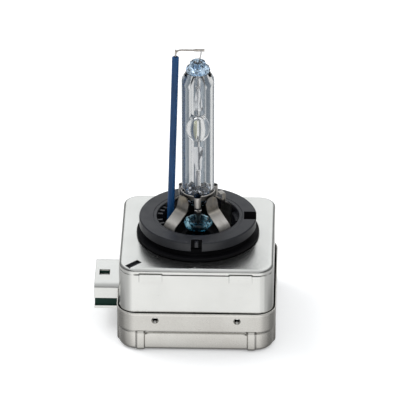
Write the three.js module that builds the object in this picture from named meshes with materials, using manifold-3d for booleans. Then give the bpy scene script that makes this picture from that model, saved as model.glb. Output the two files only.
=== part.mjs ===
// A gas-discharge headlight bulb: a quartz burner held by a sprung steel clamp over a plastic base,
// on a square metal housing that holds its own igniter. Millimetres, +Z along the lamp's axis
// towards the burner's tip, origin at the centre of the housing's bottom face.
// -Y is the front of the housing and the electrical connector points along -X.
import * as THREE from "three";
import { mergeVertices } from "three/addons/utils/BufferGeometryUtils.js";
import Module from "manifold-3d";

// ---- Driving dimensions -------------------------------------------------------------------------
const REF_Z = 30.8; // reference plane, the top of the locating ring
const LIGHT_CENTRE = 27.1; // middle of the arc above the reference plane
const ENVELOPE_R = 4.45; // outside of the outer quartz tube
const RING = { outer: 16.25, opening: 11.2, thick: 2.7 };
const SHELL = { side: 42.1, corner: 4.6, fillet: 1.4, top: 25.3, bottom: 10, sheet: 0.5 };
const CAN = { side: 43.3, corner: 5.4, rim: 11.9, step: 6.1, inset: 0.5, fillet: 1.5 };
const PLUG = { out: 28.2, front: -8.6, back: 6.2, bottom: 5.8, top: 13.5 }; // connector outline
const FIT = 0.1; // gap left between pieces that are fused or pressed together

const wasm = await Module();
wasm.setup();

// ---- Shape helpers ------------------------------------------------------------------------------
// A closed three.js geometry as a solid that can be joined and cut.
function solid(geometry) {
  const bare = geometry.index ? geometry.toNonIndexed() : geometry.clone();
  bare.deleteAttribute("normal");
  bare.deleteAttribute("uv");
  const merged = mergeVertices(bare, 1e-4);
  const mesh = new wasm.Mesh({
    numProp: 3,
    vertProperties: merged.attributes.position.array,
    triVerts: new Uint32Array(merged.index.array),
  });
  return new wasm.Manifold(mesh);
}

// The surface of a solid as a three.js geometry.
function surface(body) {
  const mesh = body.getMesh();
  const geometry = new THREE.BufferGeometry();
  geometry.setAttribute("position", new THREE.BufferAttribute(mesh.vertProperties, 3));
  geometry.setIndex(new THREE.BufferAttribute(mesh.triVerts, 1));
  geometry.computeVertexNormals();
  return geometry;
}

// first, joined to each solid in added, then cut by each solid in removed.
function build(first, added, removed) {
  const whole = added.reduce((body, extra) => body.add(solid(extra)), solid(first));
  return surface(removed.reduce((body, tool) => body.subtract(solid(tool)), whole));
}

// A profile of [radius, z] points turned about Z, anticlockwise with radius to the right.
// A profile that touches the axis starts and ends there; any other closes on itself.
function turned(profile, segments) {
  const points = profile.map(([r, z]) => new THREE.Vector2(r, z));
  if (profile[0][0] > 0) points.push(points[0].clone());
  return new THREE.LatheGeometry(points, segments).rotateX(Math.PI / 2);
}

function tube(outer, inner, z0, z1, segments) {
  return turned([[inner, z0], [outer, z0], [outer, z1], [inner, z1]], segments);
}

function rod(radius, z0, z1, segments) {
  return turned([[0, z0], [radius, z0], [radius, z1], [0, z1]], segments);
}

function box(x0, x1, y0, y1, z0, z1) {
  const block = new THREE.BoxGeometry(x1 - x0, y1 - y0, z1 - z0);
  return block.translate((x0 + x1) / 2, (y0 + y1) / 2, (z0 + z1) / 2);
}

function roundedSquare(side, radius) {
  const c = side / 2 - radius;
  const outline = new THREE.Shape();
  [[c, c], [-c, c], [-c, -c], [c, -c]].forEach(([x, y], i) => {
    outline.absarc(x, y, radius, (i * Math.PI) / 2, ((i + 1) * Math.PI) / 2);
  });
  return outline;
}

// A block with a rounded-square plan and rounded top and bottom edges.
function pressed(side, corner, fillet, z0, z1) {
  const outline = roundedSquare(side - 2 * fillet, corner - fillet);
  const block = new THREE.ExtrudeGeometry(outline, {
    depth: z1 - z0 - 2 * fillet,
    bevelSize: fillet,
    bevelThickness: fillet,
    bevelSegments: 3,
    curveSegments: 4,
  });
  return block.translate(0, 0, z0 + fillet);
}

// A round wire along a path of [x, y, z] points, with its corners eased.
function wire(path, radius, steps, sides) {
  const curve = new THREE.CatmullRomCurve3(path.map((p) => new THREE.Vector3(...p)), false, "centripetal");
  const section = new THREE.Shape().absarc(0, 0, radius, 0, 2 * Math.PI);
  return new THREE.ExtrudeGeometry(section, { steps, extrudePath: curve, curveSegments: sides });
}

// ---- Assembly -----------------------------------------------------------------------------------
const lamp = new THREE.Group();
const burner = new THREE.Group(); // measured from the reference plane
burner.position.z = REF_Z;
lamp.add(burner);

const FINISHES = {
  quartz: { color: 0xdfe9f0, roughness: 0.02, metalness: 0 },
  blueGlass: { color: 0x2f6f9c, roughness: 0.05, metalness: 0 },
  tungsten: { color: 0x6e6e70, roughness: 0.35, metalness: 1 },
  molybdenum: { color: 0xa9a7a2, roughness: 0.3, metalness: 1 },
  salt: { color: 0xd8d29a, roughness: 0.6, metalness: 0 },
  nickelWire: { color: 0xa89f94, roughness: 0.3, metalness: 1 },
  blueCeramic: { color: 0x1f4a80, roughness: 0.45, metalness: 0 },
  springSteel: { color: 0xb5aea2, roughness: 0.35, metalness: 1 },
  blackPlastic: { color: 0x2b2c30, roughness: 0.6, metalness: 0 },
  greenPlastic: { color: 0x123a30, roughness: 0.5, metalness: 0 },
  housingSheet: { color: 0xd6d6d2, roughness: 0.3, metalness: 1 },
  brass: { color: 0xb08d4a, roughness: 0.35, metalness: 1 },
  ferrite: { color: 0x3a3a3c, roughness: 0.8, metalness: 0 },
  copper: { color: 0xa8623a, roughness: 0.4, metalness: 1 },
  whiteCeramic: { color: 0xe6e2d8, roughness: 0.5, metalness: 0 },
  filmCase: { color: 0x8a2f22, roughness: 0.5, metalness: 0 },
  silicone: { color: 0x9a9c9e, roughness: 0.7, metalness: 0 },
};

function place(name, finish, geometry, parent = lamp) {
  const mesh = new THREE.Mesh(geometry, new THREE.MeshStandardMaterial(FINISHES[finish]));
  mesh.name = name;
  parent.add(mesh);
  return mesh;
}

// ---- Burner: heights are above the reference plane ------------------------------------------------
const STEM_R = 2;
const BULGE = { r: 3.2, half: 4.3 }; // outside of the discharge vessel
const ARC_SPACE = { r: 1.38, half: 3.6 }; // the space that holds the arc
const FOIL = { width: 1.5, thick: 0.12, length: 7.2, room: 0.9 }; // room is the slot's radius
const FOIL_GAP = 5.4; // from the arc's middle to the near end of each foil
const LEAD_BORE = 0.5;

function outerEnvelope() {
  const bore = { top: 1.3, bottom: 1.05 };
  const inside = ENVELOPE_R - 0.85;
  return turned([
    [bore.bottom, 1.3], [1.5, 1.8], [2.7, 2.7], [3.8, 4.1], [4.3, 5.4], [ENVELOPE_R, 6.6],
    [ENVELOPE_R, 41.4], [4.15, 42.3], [3.6, 43.1], [3.4, 43.8], [3.4, 45], [3.05, 45.8],
    [2.5, 46.3], [2.4, 46.8], [1.9, 47.2], [bore.top, 47.2], [bore.top, 43.4], [2.6, 42.9], [3.3, 42],
    [inside, 41], [inside, 7.2], [3.3, 5.8], [2.4, 4.2], [1.3, 3], [bore.bottom, 2.6],
  ], 32);
}

// Points of half an ellipse about the arc's middle, from below to above, where it is wider than from.
function bulge({ r, half }, from, steps) {
  const start = Math.acos(from / r);
  return Array.from({ length: steps + 1 }, (_, i) => {
    const angle = -start + (2 * start * i) / steps;
    return [r * Math.cos(angle), LIGHT_CENTRE + half * Math.sin(angle)];
  });
}

function arcTube() {
  const upper = LIGHT_CENTRE + FOIL_GAP;
  const lower = LIGHT_CENTRE - FOIL_GAP;
  const slit = 0.3; // the electrodes' own passages
  return turned([
    [LEAD_BORE, 1.5], [0.95, 1.6], [0.95, 3.1], [1.5, 4.9], [STEM_R, 7],
    ...bulge(BULGE, STEM_R, 8),
    [STEM_R, 40.6], [1.6, 41.8], [1.2, 43], [1.2, 46.9], [LEAD_BORE, 47.1],
    [LEAD_BORE, upper + FOIL.length + 0.6], [FOIL.room, upper + FOIL.length + 0.3],
    [FOIL.room, upper - 0.2], [slit, upper - 0.5],
    ...bulge(ARC_SPACE, slit, 8).reverse(),
    [slit, lower + 0.5], [FOIL.room, lower + 0.2],
    [FOIL.room, lower - FOIL.length - 0.3], [LEAD_BORE, lower - FOIL.length - 0.6],
  ], 24);
}

// side is +1 for the tip end and -1 for the base end.
function electrode(side) {
  const tip = LIGHT_CENTRE + side * 2.1;
  const root = LIGHT_CENTRE + side * (FOIL_GAP - 0.1);
  const [z0, z1] = side > 0 ? [tip, root] : [root, tip];
  const knob = Math.sign(side) * 0.7;
  const shank = rod(0.15, z0, z1, 10);
  const head = rod(0.24, Math.min(tip, tip + knob), Math.max(tip, tip + knob), 10);
  return build(shank, [head], []);
}

function foil(side) {
  const near = LIGHT_CENTRE + side * FOIL_GAP;
  const far = near + side * FOIL.length;
  const [z0, z1] = side > 0 ? [near, far] : [far, near];
  return box(-FOIL.width / 2, FOIL.width / 2, -FOIL.thick / 2, FOIL.thick / 2, z0, z1);
}

// A crescent of salt that has settled on one side of the arc space's wall.
function halideSalts() {
  const lining = turned(bulge({ r: 1.3, half: 3.4 }, 0.7, 6).concat(
    bulge({ r: 1.12, half: 3.2 }, 0.6, 6).reverse()), 20);
  const keep = box(-1.4, -0.35, -1.4, 1.4, LIGHT_CENTRE - 2.6, LIGHT_CENTRE + 1.6);
  return surface(solid(lining).intersect(solid(keep)));
}

place("outer_envelope", "quartz", outerEnvelope(), burner);
place("arc_tube", "quartz", arcTube(), burner);
place("upper_electrode", "tungsten", electrode(1), burner);
place("lower_electrode", "tungsten", electrode(-1), burner);
place("upper_seal_foil", "molybdenum", foil(1), burner);
place("lower_seal_foil", "molybdenum", foil(-1), burner);
place("halide_salts", "salt", halideSalts(), burner);

// Leads: the upper one leans over to the return wire and the lower one drops into the contact.
const FOIL_END = FOIL_GAP + FOIL.length + 0.1;
const LEAD_R = 0.2;
const RETURN_TOP = 50.5; // height of the return wire's level run
const upperLead = [
  [0, 0, LIGHT_CENTRE + FOIL_END], [0, 0, 45.4], [0.2, -0.1, 46.6],
  [0.75, -0.36, 49.2], [1, -0.4, RETURN_TOP + 0.3],
];
place("upper_lead", "molybdenum", wire(upperLead, LEAD_R, 14, 4), burner);
place("lower_lead", "molybdenum", rod(0.42, -13, LIGHT_CENTRE - FOIL_END, 12), burner);

// Return conductor: up through its insulator, over the tip, and flattened where the lead is welded.
const INSULATOR = { r: 0.95, bore: 0.45, bottom: -8, top: 48.4, foot: -7.46, lean: 0.0295 };
const returnX = (z) => INSULATOR.foot + INSULATOR.lean * z;

function returnInsulator() {
  const length = (INSULATOR.top - INSULATOR.bottom) / Math.cos(Math.atan(INSULATOR.lean));
  return tube(INSULATOR.r, INSULATOR.bore, 0, length, 16);
}

function returnWire() {
  const path = [
    [returnX(-12.6), 0, -12.6], [returnX(10), 0, 10], [returnX(30), 0, 30], [returnX(48.6), 0, 48.6],
    [-5.75, 0, 49.8], [-5, 0, RETURN_TOP - 0.05], [-3.6, 0, RETURN_TOP], [-1.2, 0, RETURN_TOP + 0.05],
  ];
  const paddle = box(-1.5, 1.8, -0.15, 0.15, RETURN_TOP - 0.3, RETURN_TOP + 0.4);
  return build(wire(path, 0.25, 26, 4), [paddle], []);
}

const insulator = place("return_insulator", "blueCeramic", returnInsulator(), burner);
insulator.position.set(returnX(INSULATOR.bottom), 0, INSULATOR.bottom);
insulator.rotation.y = Math.atan(INSULATOR.lean);
place("return_wire", "nickelWire", returnWire(), burner);

// ---- Clamp: a band round the envelope with three sprung beads, on four legs --------------------
const BAND = { r: 4.66, thick: 0.2, bottom: 6.9, top: 8.3, bead: 1.4, beadHalf: 0.2 };
const BEAD_BOTTOM = 5.3; // the beads are taller than the band between them
const BEADS = [-90, 27, 153].map(THREE.MathUtils.degToRad);

function clampBand() {
  const around = 84;
  const radius = (angle) => {
    const rise = BEADS.map((centre) => {
      const off = Math.abs(Math.atan2(Math.sin(angle - centre), Math.cos(angle - centre)));
      return off < BAND.beadHalf ? BAND.bead * Math.cos((off / BAND.beadHalf) * (Math.PI / 2)) ** 0.6 : 0;
    });
    return BAND.r + Math.max(...rise);
  };
  const loop = (offset) => Array.from({ length: around }, (_, i) => {
    const angle = (2 * Math.PI * i) / around;
    const r = radius(angle) + offset;
    return new THREE.Vector2(r * Math.cos(angle), r * Math.sin(angle));
  });
  const outline = new THREE.Shape(loop(BAND.thick / 2));
  outline.holes.push(new THREE.Path(loop(-BAND.thick / 2)));
  const full = new THREE.ExtrudeGeometry(outline, { depth: BAND.top - BEAD_BOTTOM, bevelEnabled: false });
  const between = rod(8, BAND.bottom, BAND.top + 1, 24);
  const atBeads = BEADS.map((angle) =>
    box(4, 7, -1.15, 1.15, BEAD_BOTTOM - 1, BAND.top + 1).rotateZ(angle));
  const kept = atBeads.reduce((body, part) => body.add(solid(part)), solid(between));
  return surface(solid(full.translate(0, 0, BEAD_BOTTOM)).intersect(kept));
}

// A bent tab that the factory grips while it welds the band: out from a bead, then down.
const WELD_TAB = { from: 6.35, to: 8, top: 5.4, bottom: 2.4, width: 1.9, sheet: 0.2 };

function weldTab() {
  const { from, to, top, bottom, width, sheet } = WELD_TAB;
  const profile = new THREE.Shape([
    [from, top], [to, top], [to, bottom], [to - sheet, bottom], [to - sheet, top - sheet],
    [from, top - sheet],
  ].map(([r, z]) => new THREE.Vector2(r, z)));
  return new THREE.ExtrudeGeometry(profile, { depth: width, bevelEnabled: false })
    .translate(0, 0, -width / 2)
    .rotateX(Math.PI / 2);
}

const LEG = { width: 4.1, sheet: 0.3, root: 5.1, foot: 10.75, bottom: -6.5 };
const TAB_TOP = { front: 7.6, rear: 5.2 }; // the rear tabs end under the band, clear of its beads

// The leg's middle line runs down its tab, out over the shoulder, and down inside the base's wall.
function leg(tabTop) {
  const line = new THREE.CatmullRomCurve3([
    [LEG.root, tabTop], [LEG.root + 0.1, tabTop - 1], [LEG.root + 0.7, 4], [6.9, 2.9],
    [8.5, 1.6], [10, 0.5], [LEG.foot - 0.1, -0.5], [LEG.foot, -1.8], [LEG.foot, LEG.bottom],
  ].map(([r, z]) => new THREE.Vector3(r, z, 0)), false, "centripetal");
  const count = 20;
  const edge = (side) => Array.from({ length: count + 1 }, (_, i) => {
    const p = line.getPoint(i / count);
    const along = line.getTangent(i / count);
    return new THREE.Vector2(p.x - side * along.y * LEG.sheet / 2, p.y + side * along.x * LEG.sheet / 2);
  });
  const profile = new THREE.Shape([...edge(1), ...edge(-1).reverse()]);
  const strip = new THREE.ExtrudeGeometry(profile, { depth: LEG.width, bevelEnabled: false })
    .translate(0, 0, -LEG.width / 2)
    .rotateX(Math.PI / 2);
  const half = LEG.width / 2;
  const arch = new THREE.Shape();
  arch.moveTo(-half, LEG.bottom - 1);
  arch.lineTo(half, LEG.bottom - 1);
  arch.absarc(0, tabTop - half, half, 0, Math.PI);
  const cutter = new THREE.ExtrudeGeometry(arch, { depth: 20, bevelEnabled: false, curveSegments: 8 })
    .rotateX(Math.PI / 2)
    .rotateZ(Math.PI / 2);
  return surface(solid(strip).intersect(solid(cutter)));
}

place("clamp_band", "springSteel", clampBand(), burner);
place("weld_tab", "springSteel", weldTab(), burner).rotation.z = BEADS[1];
const legGeometry = { front: leg(TAB_TOP.front), rear: leg(TAB_TOP.rear) };
const LEG_AT = { rear_right: 45, rear_left: 135, front_left: 224, front_right: 315 };
Object.entries(LEG_AT).forEach(([where, degrees]) => {
  const geometry = legGeometry[where.split("_")[0]];
  const piece = place(`clamp_leg_${where}`, "springSteel", geometry, burner);
  piece.rotation.z = THREE.MathUtils.degToRad(degrees);
});

// ---- Base: locating ring on a hollow body that passes through the shell ------------------------
const KEY_FRONT = { width: 2.8, depth: 2.2 };
const KEY_RIGHT = { width: 4.3, depth: 3.5 };
const GUIDE = { y: 2.3, half: 0.2, tip: -9, drop: 0.15 }; // two ribs either side of the insulator
const FLANGE = { r: 16.75, top: 26.3, neck: 14.4 };
const BARREL = { r: 12.7, floor: 22.2, bottom: 20 };
const BOSS = { r: 4.5, top: 24.7, bore: 1.55, bottom: 14.6, sleeve: 5.2, cup: 3.3, cupFloor: 23 };
const WIRE_HOLE = { r: 1.15, x: returnX(-9.5) }; // lets the insulated wire through the floor

function locatingRing() {
  const z0 = REF_Z - RING.thick;
  const ring = tube(RING.outer, RING.opening, z0, REF_Z, 56);
  const guides = [-GUIDE.y, GUIDE.y].map((y) => box(-RING.opening - 0.4, GUIDE.tip,
    y - GUIDE.half, y + GUIDE.half, z0, REF_Z - GUIDE.drop));
  const keys = [
    box(-KEY_FRONT.width / 2, KEY_FRONT.width / 2, -RING.outer - 1, -RING.outer + KEY_FRONT.depth,
      z0 - 1, REF_Z + 1),
    box(RING.outer - KEY_RIGHT.depth, RING.outer + 1, -KEY_RIGHT.width / 2, KEY_RIGHT.width / 2,
      z0 - 1, REF_Z + 1),
  ];
  return build(ring, guides, keys);
}

function baseBody() {
  const underRing = REF_Z - RING.thick - FIT / 2;
  const body = turned([
    [BOSS.bore, BOSS.bottom], [BOSS.sleeve, BOSS.bottom], [BOSS.sleeve, BARREL.bottom],
    [BARREL.r, BARREL.bottom],
    [BARREL.r, SHELL.top + FIT], [FLANGE.r, SHELL.top + FIT], [FLANGE.r, FLANGE.top],
    [FLANGE.neck, FLANGE.top], [FLANGE.neck, underRing], [RING.opening, underRing],
    [RING.opening, BARREL.floor], [BOSS.r, BARREL.floor], [BOSS.r, BOSS.top], [BOSS.cup, BOSS.top],
    [BOSS.cup, BOSS.cupFloor], [BOSS.bore, BOSS.cupFloor],
  ], 40);
  const wireHole = rod(WIRE_HOLE.r, BARREL.bottom - 1, BARREL.floor + 1, 12);
  return build(body, [], [wireHole.translate(WIRE_HOLE.x, 0, 0)]);
}

function stemBead() {
  return turned([
    [0.6, 25], [2.9, 25], [2.9, 27], [3.6, 27.5], [3.85, 28.2], [3.85, 29], [3.6, 29.4],
    [3.2, 29.3], [2.2, 28.5], [1.3, 28.5], [0.6, 28.8],
  ], 28);
}

place("locating_ring", "blackPlastic", locatingRing());
place("base_body", "blackPlastic", baseBody());
place("stem_bead", "blueGlass", stemBead());
place("burner_contact", "brass", tube(1.45, 0.55, 15.2, 22.8, 14));

// ---- Housing: a pressed shell that drops into a can, held by punched dimples --------------------
const SLOT = { length: 4.6, width: 1.9, x: -17, y: -18.1 };
const PAD = { x: 12.2, half: 3, proud: 0.3, top: 1.6, bottom: 5 }; // top and bottom are below the shell's top
const RIB = { x: 15, r: 1.1, squash: 0.5, foot: 0.25 }; // bosses that stiffen the can's lower wall
const DIMPLE = { x: 11, ball: 1.1, out: 0.75, below: 2.2 }; // punched through the rim into the shell
const PLUG_ROOM = 0.3; // clearance round the connector where it leaves the housing

function upperShell() {
  const below = 6; // the blocks start this far under the shell and are cut level
  const outer = pressed(SHELL.side, SHELL.corner, SHELL.fillet, SHELL.bottom - below, SHELL.top);
  const inner = pressed(SHELL.side - 2 * SHELL.sheet, SHELL.corner - SHELL.sheet,
    SHELL.fillet - SHELL.sheet, SHELL.bottom - below - 1, SHELL.top - SHELL.sheet);
  const half = SHELL.side / 2;
  const pads = [-1, 1].flatMap((face) => [-PAD.x, PAD.x].map((x) =>
    box(x - PAD.half, x + PAD.half, face * half - PAD.proud, face * half + PAD.proud,
      SHELL.top - PAD.bottom, SHELL.top - PAD.top)));
  const slot = new THREE.BoxGeometry(SLOT.length, SLOT.width, 6);
  slot.rotateZ(Math.PI / 4).translate(SLOT.x, SLOT.y, SHELL.top);
  return build(outer, pads, [
    inner,
    slot,
    box(-half - 1, half + 1, -half - 1, half + 1, SHELL.bottom - below - 2, SHELL.bottom),
    rod(BARREL.r + 0.3, SHELL.top - 3, SHELL.top + 1, 40),
    box(-half - 2, -half + 3, PLUG.front - PLUG_ROOM, PLUG.back + PLUG_ROOM, 0, PLUG.top + PLUG_ROOM),
  ]);
}

function lowerCan() {
  const lower = CAN.side - 2 * CAN.inset;
  const sheet = SHELL.sheet;
  const over = 8; // the blocks run this far past the rim and are cut level
  const half = CAN.side / 2;
  const base = pressed(lower, CAN.corner - CAN.inset, CAN.fillet, 0, CAN.rim);
  const band = new THREE.ExtrudeGeometry(roundedSquare(CAN.side, CAN.corner),
    { depth: CAN.rim - CAN.step, bevelEnabled: false, curveSegments: 4 }).translate(0, 0, CAN.step);
  const rib = () => rod(RIB.r, RIB.foot, CAN.step + 0.5, 12).scale(1, RIB.squash, 1);
  const ribs = [0, 1, 2, 3].flatMap((turn) => [-RIB.x, RIB.x].map((x) =>
    rib().translate(x, -lower / 2, 0).rotateZ((turn * Math.PI) / 2)));
  const room = pressed(lower - 2 * sheet, CAN.corner - CAN.inset - sheet, 1, sheet, CAN.rim + over);
  const bandRoom = new THREE.ExtrudeGeometry(roundedSquare(CAN.side - 2 * sheet, CAN.corner - sheet),
    { depth: over, bevelEnabled: false, curveSegments: 4 }).translate(0, 0, CAN.step + sheet);
  const dimples = [-1, 1].flatMap((face) => [-DIMPLE.x, DIMPLE.x].map((x) =>
    new THREE.SphereGeometry(DIMPLE.ball, 12, 8)
      .translate(x, face * (half + DIMPLE.out), CAN.rim - DIMPLE.below)));
  const plugGap = box(-half - 1, -half + 3, PLUG.front - PLUG_ROOM, PLUG.back + PLUG_ROOM,
    PLUG.bottom - PLUG_ROOM, CAN.rim + over);
  return build(base, [band, ...ribs], [room, bandRoom, ...dimples, plugGap]);
}

place("upper_shell", "housingSheet", upperShell());
place("lower_can", "housingSheet", lowerCan());

// ---- Connector: plastic socket between two folded screens ---------------------------------------
const SCREEN = 0.4;
const SCREEN_LOW = 9; // lower edge of the upper screen's skirts
const TRAY_LIP = 6.7; // upper edge of the lower screen's lips
const INNER_END = -20.2; // where the screens end inside the housing
const LATCH = { from: -27, to: -24.2, front: -3.4, back: -0.4 }; // window that the plug's hook drops into

// A bar along X whose section is a rectangle with its top corners rounded.
function bar(y0, y1, z0, z1, corner, x0, x1) {
  const section = new THREE.Shape();
  section.moveTo(y0, z0);
  section.lineTo(y1, z0);
  section.absarc(y1 - corner, z1 - corner, corner, 0, Math.PI / 2);
  section.absarc(y0 + corner, z1 - corner, corner, Math.PI / 2, Math.PI);
  return new THREE.ExtrudeGeometry(section, { depth: x1 - x0, bevelEnabled: false, curveSegments: 4 })
    .rotateX(Math.PI / 2)
    .rotateZ(Math.PI / 2)
    .translate(x0, 0, 0);
}

function upperScreen() {
  const skin = bar(PLUG.front, PLUG.back, SCREEN_LOW, PLUG.top, 1.5, -PLUG.out, INNER_END);
  const inside = bar(PLUG.front + SCREEN, PLUG.back - SCREEN, 0, PLUG.top - SCREEN, 1.1,
    -PLUG.out - 1, INNER_END + 1);
  const latch = box(LATCH.from, LATCH.to, LATCH.front, LATCH.back, PLUG.top - 1, PLUG.top + 1);
  return build(skin, [], [inside, latch]);
}

function lowerScreen() {
  const tray = box(-PLUG.out, INNER_END, PLUG.front, PLUG.back, PLUG.bottom, TRAY_LIP);
  const inside = box(-PLUG.out - 1, INNER_END + 1, PLUG.front + SCREEN, PLUG.back - SCREEN,
    PLUG.bottom + SCREEN, TRAY_LIP + 1);
  return build(tray, [], [inside]);
}

const SOCKET = {
  front: PLUG.front + 0.5, back: PLUG.back - 0.5, bottom: 6.3, top: 13, root: -18.6, floor: -20.8, wall: 1.1,
};
const PIN = { wide: 0.8, thick: 0.64, z: 9.6, tip: -24.2, root: -17.4 };
const PIN_Y = [-5.1, -1.2, 2.7];

// A pin's own block, or with room the hole that it is pressed into.
function pinBlock(x0, x1, y, room) {
  return box(x0, x1, y - PIN.wide / 2 - room, y + PIN.wide / 2 + room,
    PIN.z - PIN.thick / 2 - room, PIN.z + PIN.thick / 2 + room);
}

function connectorSocket() {
  const { front, back, bottom, top, root, floor, wall } = SOCKET;
  const block = bar(front, back, bottom, top, 1, -PLUG.out + FIT, root);
  const mouth = box(-PLUG.out - 1, floor, front + wall, back - wall, bottom + wall, top - wall);
  const pinHoles = PIN_Y.map((y) => pinBlock(floor - 1, root + 1, y, FIT / 2));
  const hook = box(LATCH.from, LATCH.to, LATCH.front + 0.2, LATCH.back - 0.2, top - 2, top + 1);
  return build(block, [], [mouth, ...pinHoles, hook]);
}

place("connector_screen_upper", "housingSheet", upperScreen());
place("connector_screen_lower", "housingSheet", lowerScreen());
place("connector_socket", "greenPlastic", connectorSocket());
PIN_Y.forEach((y, i) => place(`connector_pin_${i + 1}`, "brass", pinBlock(PIN.tip, PIN.root, y, 0)));

// ---- Igniter, inside the housing ----------------------------------------------------------------
const TRAY = { half: 18.8, bottom: 1.2, floor: 2.4, top: 8, wall: 1.2 };
const POTTING_TOP = 3.4; // upper face of the layer that beds the components

function igniterTray() {
  const { half, bottom, floor, top } = TRAY;
  const room = half - TRAY.wall;
  const outer = box(-half, half, -half, half, bottom, top);
  const inner = box(-room, room, -room, room, floor, top + 1);
  const plugGap = box(-half - 1, -half + 2, PLUG.front - PLUG_ROOM, PLUG.back + PLUG_ROOM,
    PLUG.bottom - PLUG_ROOM, top + 1);
  return build(outer, [], [inner, plugGap]);
}

function pottingLayer() {
  const half = TRAY.half - TRAY.wall - FIT;
  return box(-half, half, -half, half, TRAY.floor + FIT, POTTING_TOP);
}

// The transformer lies along X. Its radii step outwards: core, bobbin, secondary and primary.
const COIL = {
  y: 11.2, z: 10.2, half: 14.5, core: 2.4, hub: 3.3, cheek: 1.2, cheekR: 6.4, chambers: 8,
  wound: { inner: 3.4, valley: 4.9, ridge: 5.3 }, primary: { inner: 5.5, outer: 6, half: 5 },
};
const alongX = (geometry, x, y, z) => geometry.rotateY(Math.PI / 2).translate(x, y, z);
const onCoil = (geometry) => alongX(geometry, 0, COIL.y, COIL.z);

function bobbin() {
  const { half, core, hub, cheek, cheekR } = COIL;
  const bore = core + FIT;
  return turned([
    [bore, -half], [cheekR, -half], [cheekR, -half + cheek], [hub, -half + cheek],
    [hub, half - cheek], [cheekR, half - cheek], [cheekR, half], [bore, half],
  ], 20);
}

// The secondary is wound in chambers, so its outside swells and narrows.
function secondaryWinding() {
  const { inner, valley, ridge } = COIL.wound;
  const half = COIL.half - COIL.cheek - 0.4;
  const pitch = (2 * half) / COIL.chambers;
  const swells = Array.from({ length: COIL.chambers }, (_, i) => {
    const z = -half + pitch * (i + 0.5);
    return [[valley, z - pitch / 2 + 0.02], [ridge, z]];
  }).flat();
  return turned([[inner, -half], ...swells, [valley, half], [inner, half]], 18);
}

place("igniter_tray", "greenPlastic", igniterTray());
place("potting_layer", "silicone", pottingLayer());
place("transformer_core", "ferrite", onCoil(rod(COIL.core, -COIL.half - 0.6, COIL.half + 0.6, 16)));
place("transformer_bobbin", "greenPlastic", onCoil(bobbin()));
place("secondary_winding", "copper", onCoil(secondaryWinding()));
place("primary_winding", "copper", onCoil(
  tube(COIL.primary.outer, COIL.primary.inner, -COIL.primary.half, COIL.primary.half, 20)));

// Spark gap: a ceramic tube between two metal caps.
const GAP = { x: -10.5, y: -12.5, z: 6.4, half: 2, r: 2.4, bore: 1.6, cap: 0.9, capR: 2.6 };
place("spark_gap_body", "whiteCeramic",
  alongX(tube(GAP.r, GAP.bore, -GAP.half, GAP.half, 18), GAP.x, GAP.y, GAP.z));
[["left", -1], ["right", 1]].forEach(([where, side]) => {
  const cap = rod(GAP.capR, -GAP.cap / 2, GAP.cap / 2, 18);
  const x = GAP.x + side * (GAP.half + FIT / 2 + GAP.cap / 2);
  place(`spark_gap_cap_${where}`, "nickelWire", alongX(cap, x, GAP.y, GAP.z));
});

const CAPACITOR = { left: -3.5, right: 8.5, front: -17, back: -10, top: 13 };
place("storage_capacitor", "filmCase",
  box(CAPACITOR.left, CAPACITOR.right, CAPACITOR.front, CAPACITOR.back, POTTING_TOP, CAPACITOR.top));
const RESISTOR = { r: 1.2, half: 3, x: 14, y: -14.5, z: 5 };
place("bleed_resistor", "whiteCeramic",
  alongX(rod(RESISTOR.r, -RESISTOR.half, RESISTOR.half, 12), RESISTOR.x, RESISTOR.y, RESISTOR.z));

// Choke: a ferrite spool standing on the potting, with its winding round the middle.
const CHOKE = { x: 13, y: -4.5, r: 4.2, waist: 1.8, cheek: 1.2, top: 12.6, wound: 3.7 };

function chokeCore() {
  const low = POTTING_TOP + CHOKE.cheek;
  const high = CHOKE.top - CHOKE.cheek;
  return turned([
    [0, POTTING_TOP], [CHOKE.r, POTTING_TOP], [CHOKE.r, low], [CHOKE.waist, low],
    [CHOKE.waist, high], [CHOKE.r, high], [CHOKE.r, CHOKE.top], [0, CHOKE.top],
  ], 18);
}

function chokeWinding() {
  const inset = CHOKE.cheek + 0.15;
  return tube(CHOKE.wound, CHOKE.waist + 0.15, POTTING_TOP + inset, CHOKE.top - inset, 18);
}

place("choke_core", "ferrite", chokeCore().translate(CHOKE.x, CHOKE.y, 0));
place("choke_winding", "copper", chokeWinding().translate(CHOKE.x, CHOKE.y, 0));

// Stamped conductors from the pins to the igniter's parts and the burner.
const bus = (points) => points.map(([x0, x1, y0, y1, z0, z1]) => box(x0, x1, y0, y1, z0, z1));
const [burnerBus, ...burnerBusMore] = bus([
  [-3, 3, -1, 1, 13.6, 14.1], [2, 3, -1, 5.4, 13.6, 14.1], [2, 3, 4.9, 5.4, 12.6, 14.1],
]);
place("burner_busbar", "brass", build(burnerBus, burnerBusMore, []));
const [returnBus, ...returnBusMore] = bus([
  [-17.2, -6.7, 2.2, 3.2, 9.3, 9.9], [-8.4, -6.7, -1, 3.2, 9.3, 9.9], [-8.4, -7.95, -1, 1, 9.3, 17.4],
]);
place("return_busbar", "brass", build(returnBus, returnBusMore, []));
const [supplyBus, ...supplyBusMore] = bus([
  [-17.2, -5, -5.6, -4.6, 9.3, 9.9], [-6, -5, -12, -4.6, 9.3, 9.9], [-6, -3.7, -12.4, -11.6, 9.3, 9.9],
]);
place("supply_busbar", "brass", build(supplyBus, supplyBusMore, []));

export default lamp;
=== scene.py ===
"""A gas-discharge headlight bulb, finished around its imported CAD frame.

Shapes are given in millimetres in the lamp's own frame: +Z up the burner's axis, -Y at the front.
"""
import math

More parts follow.
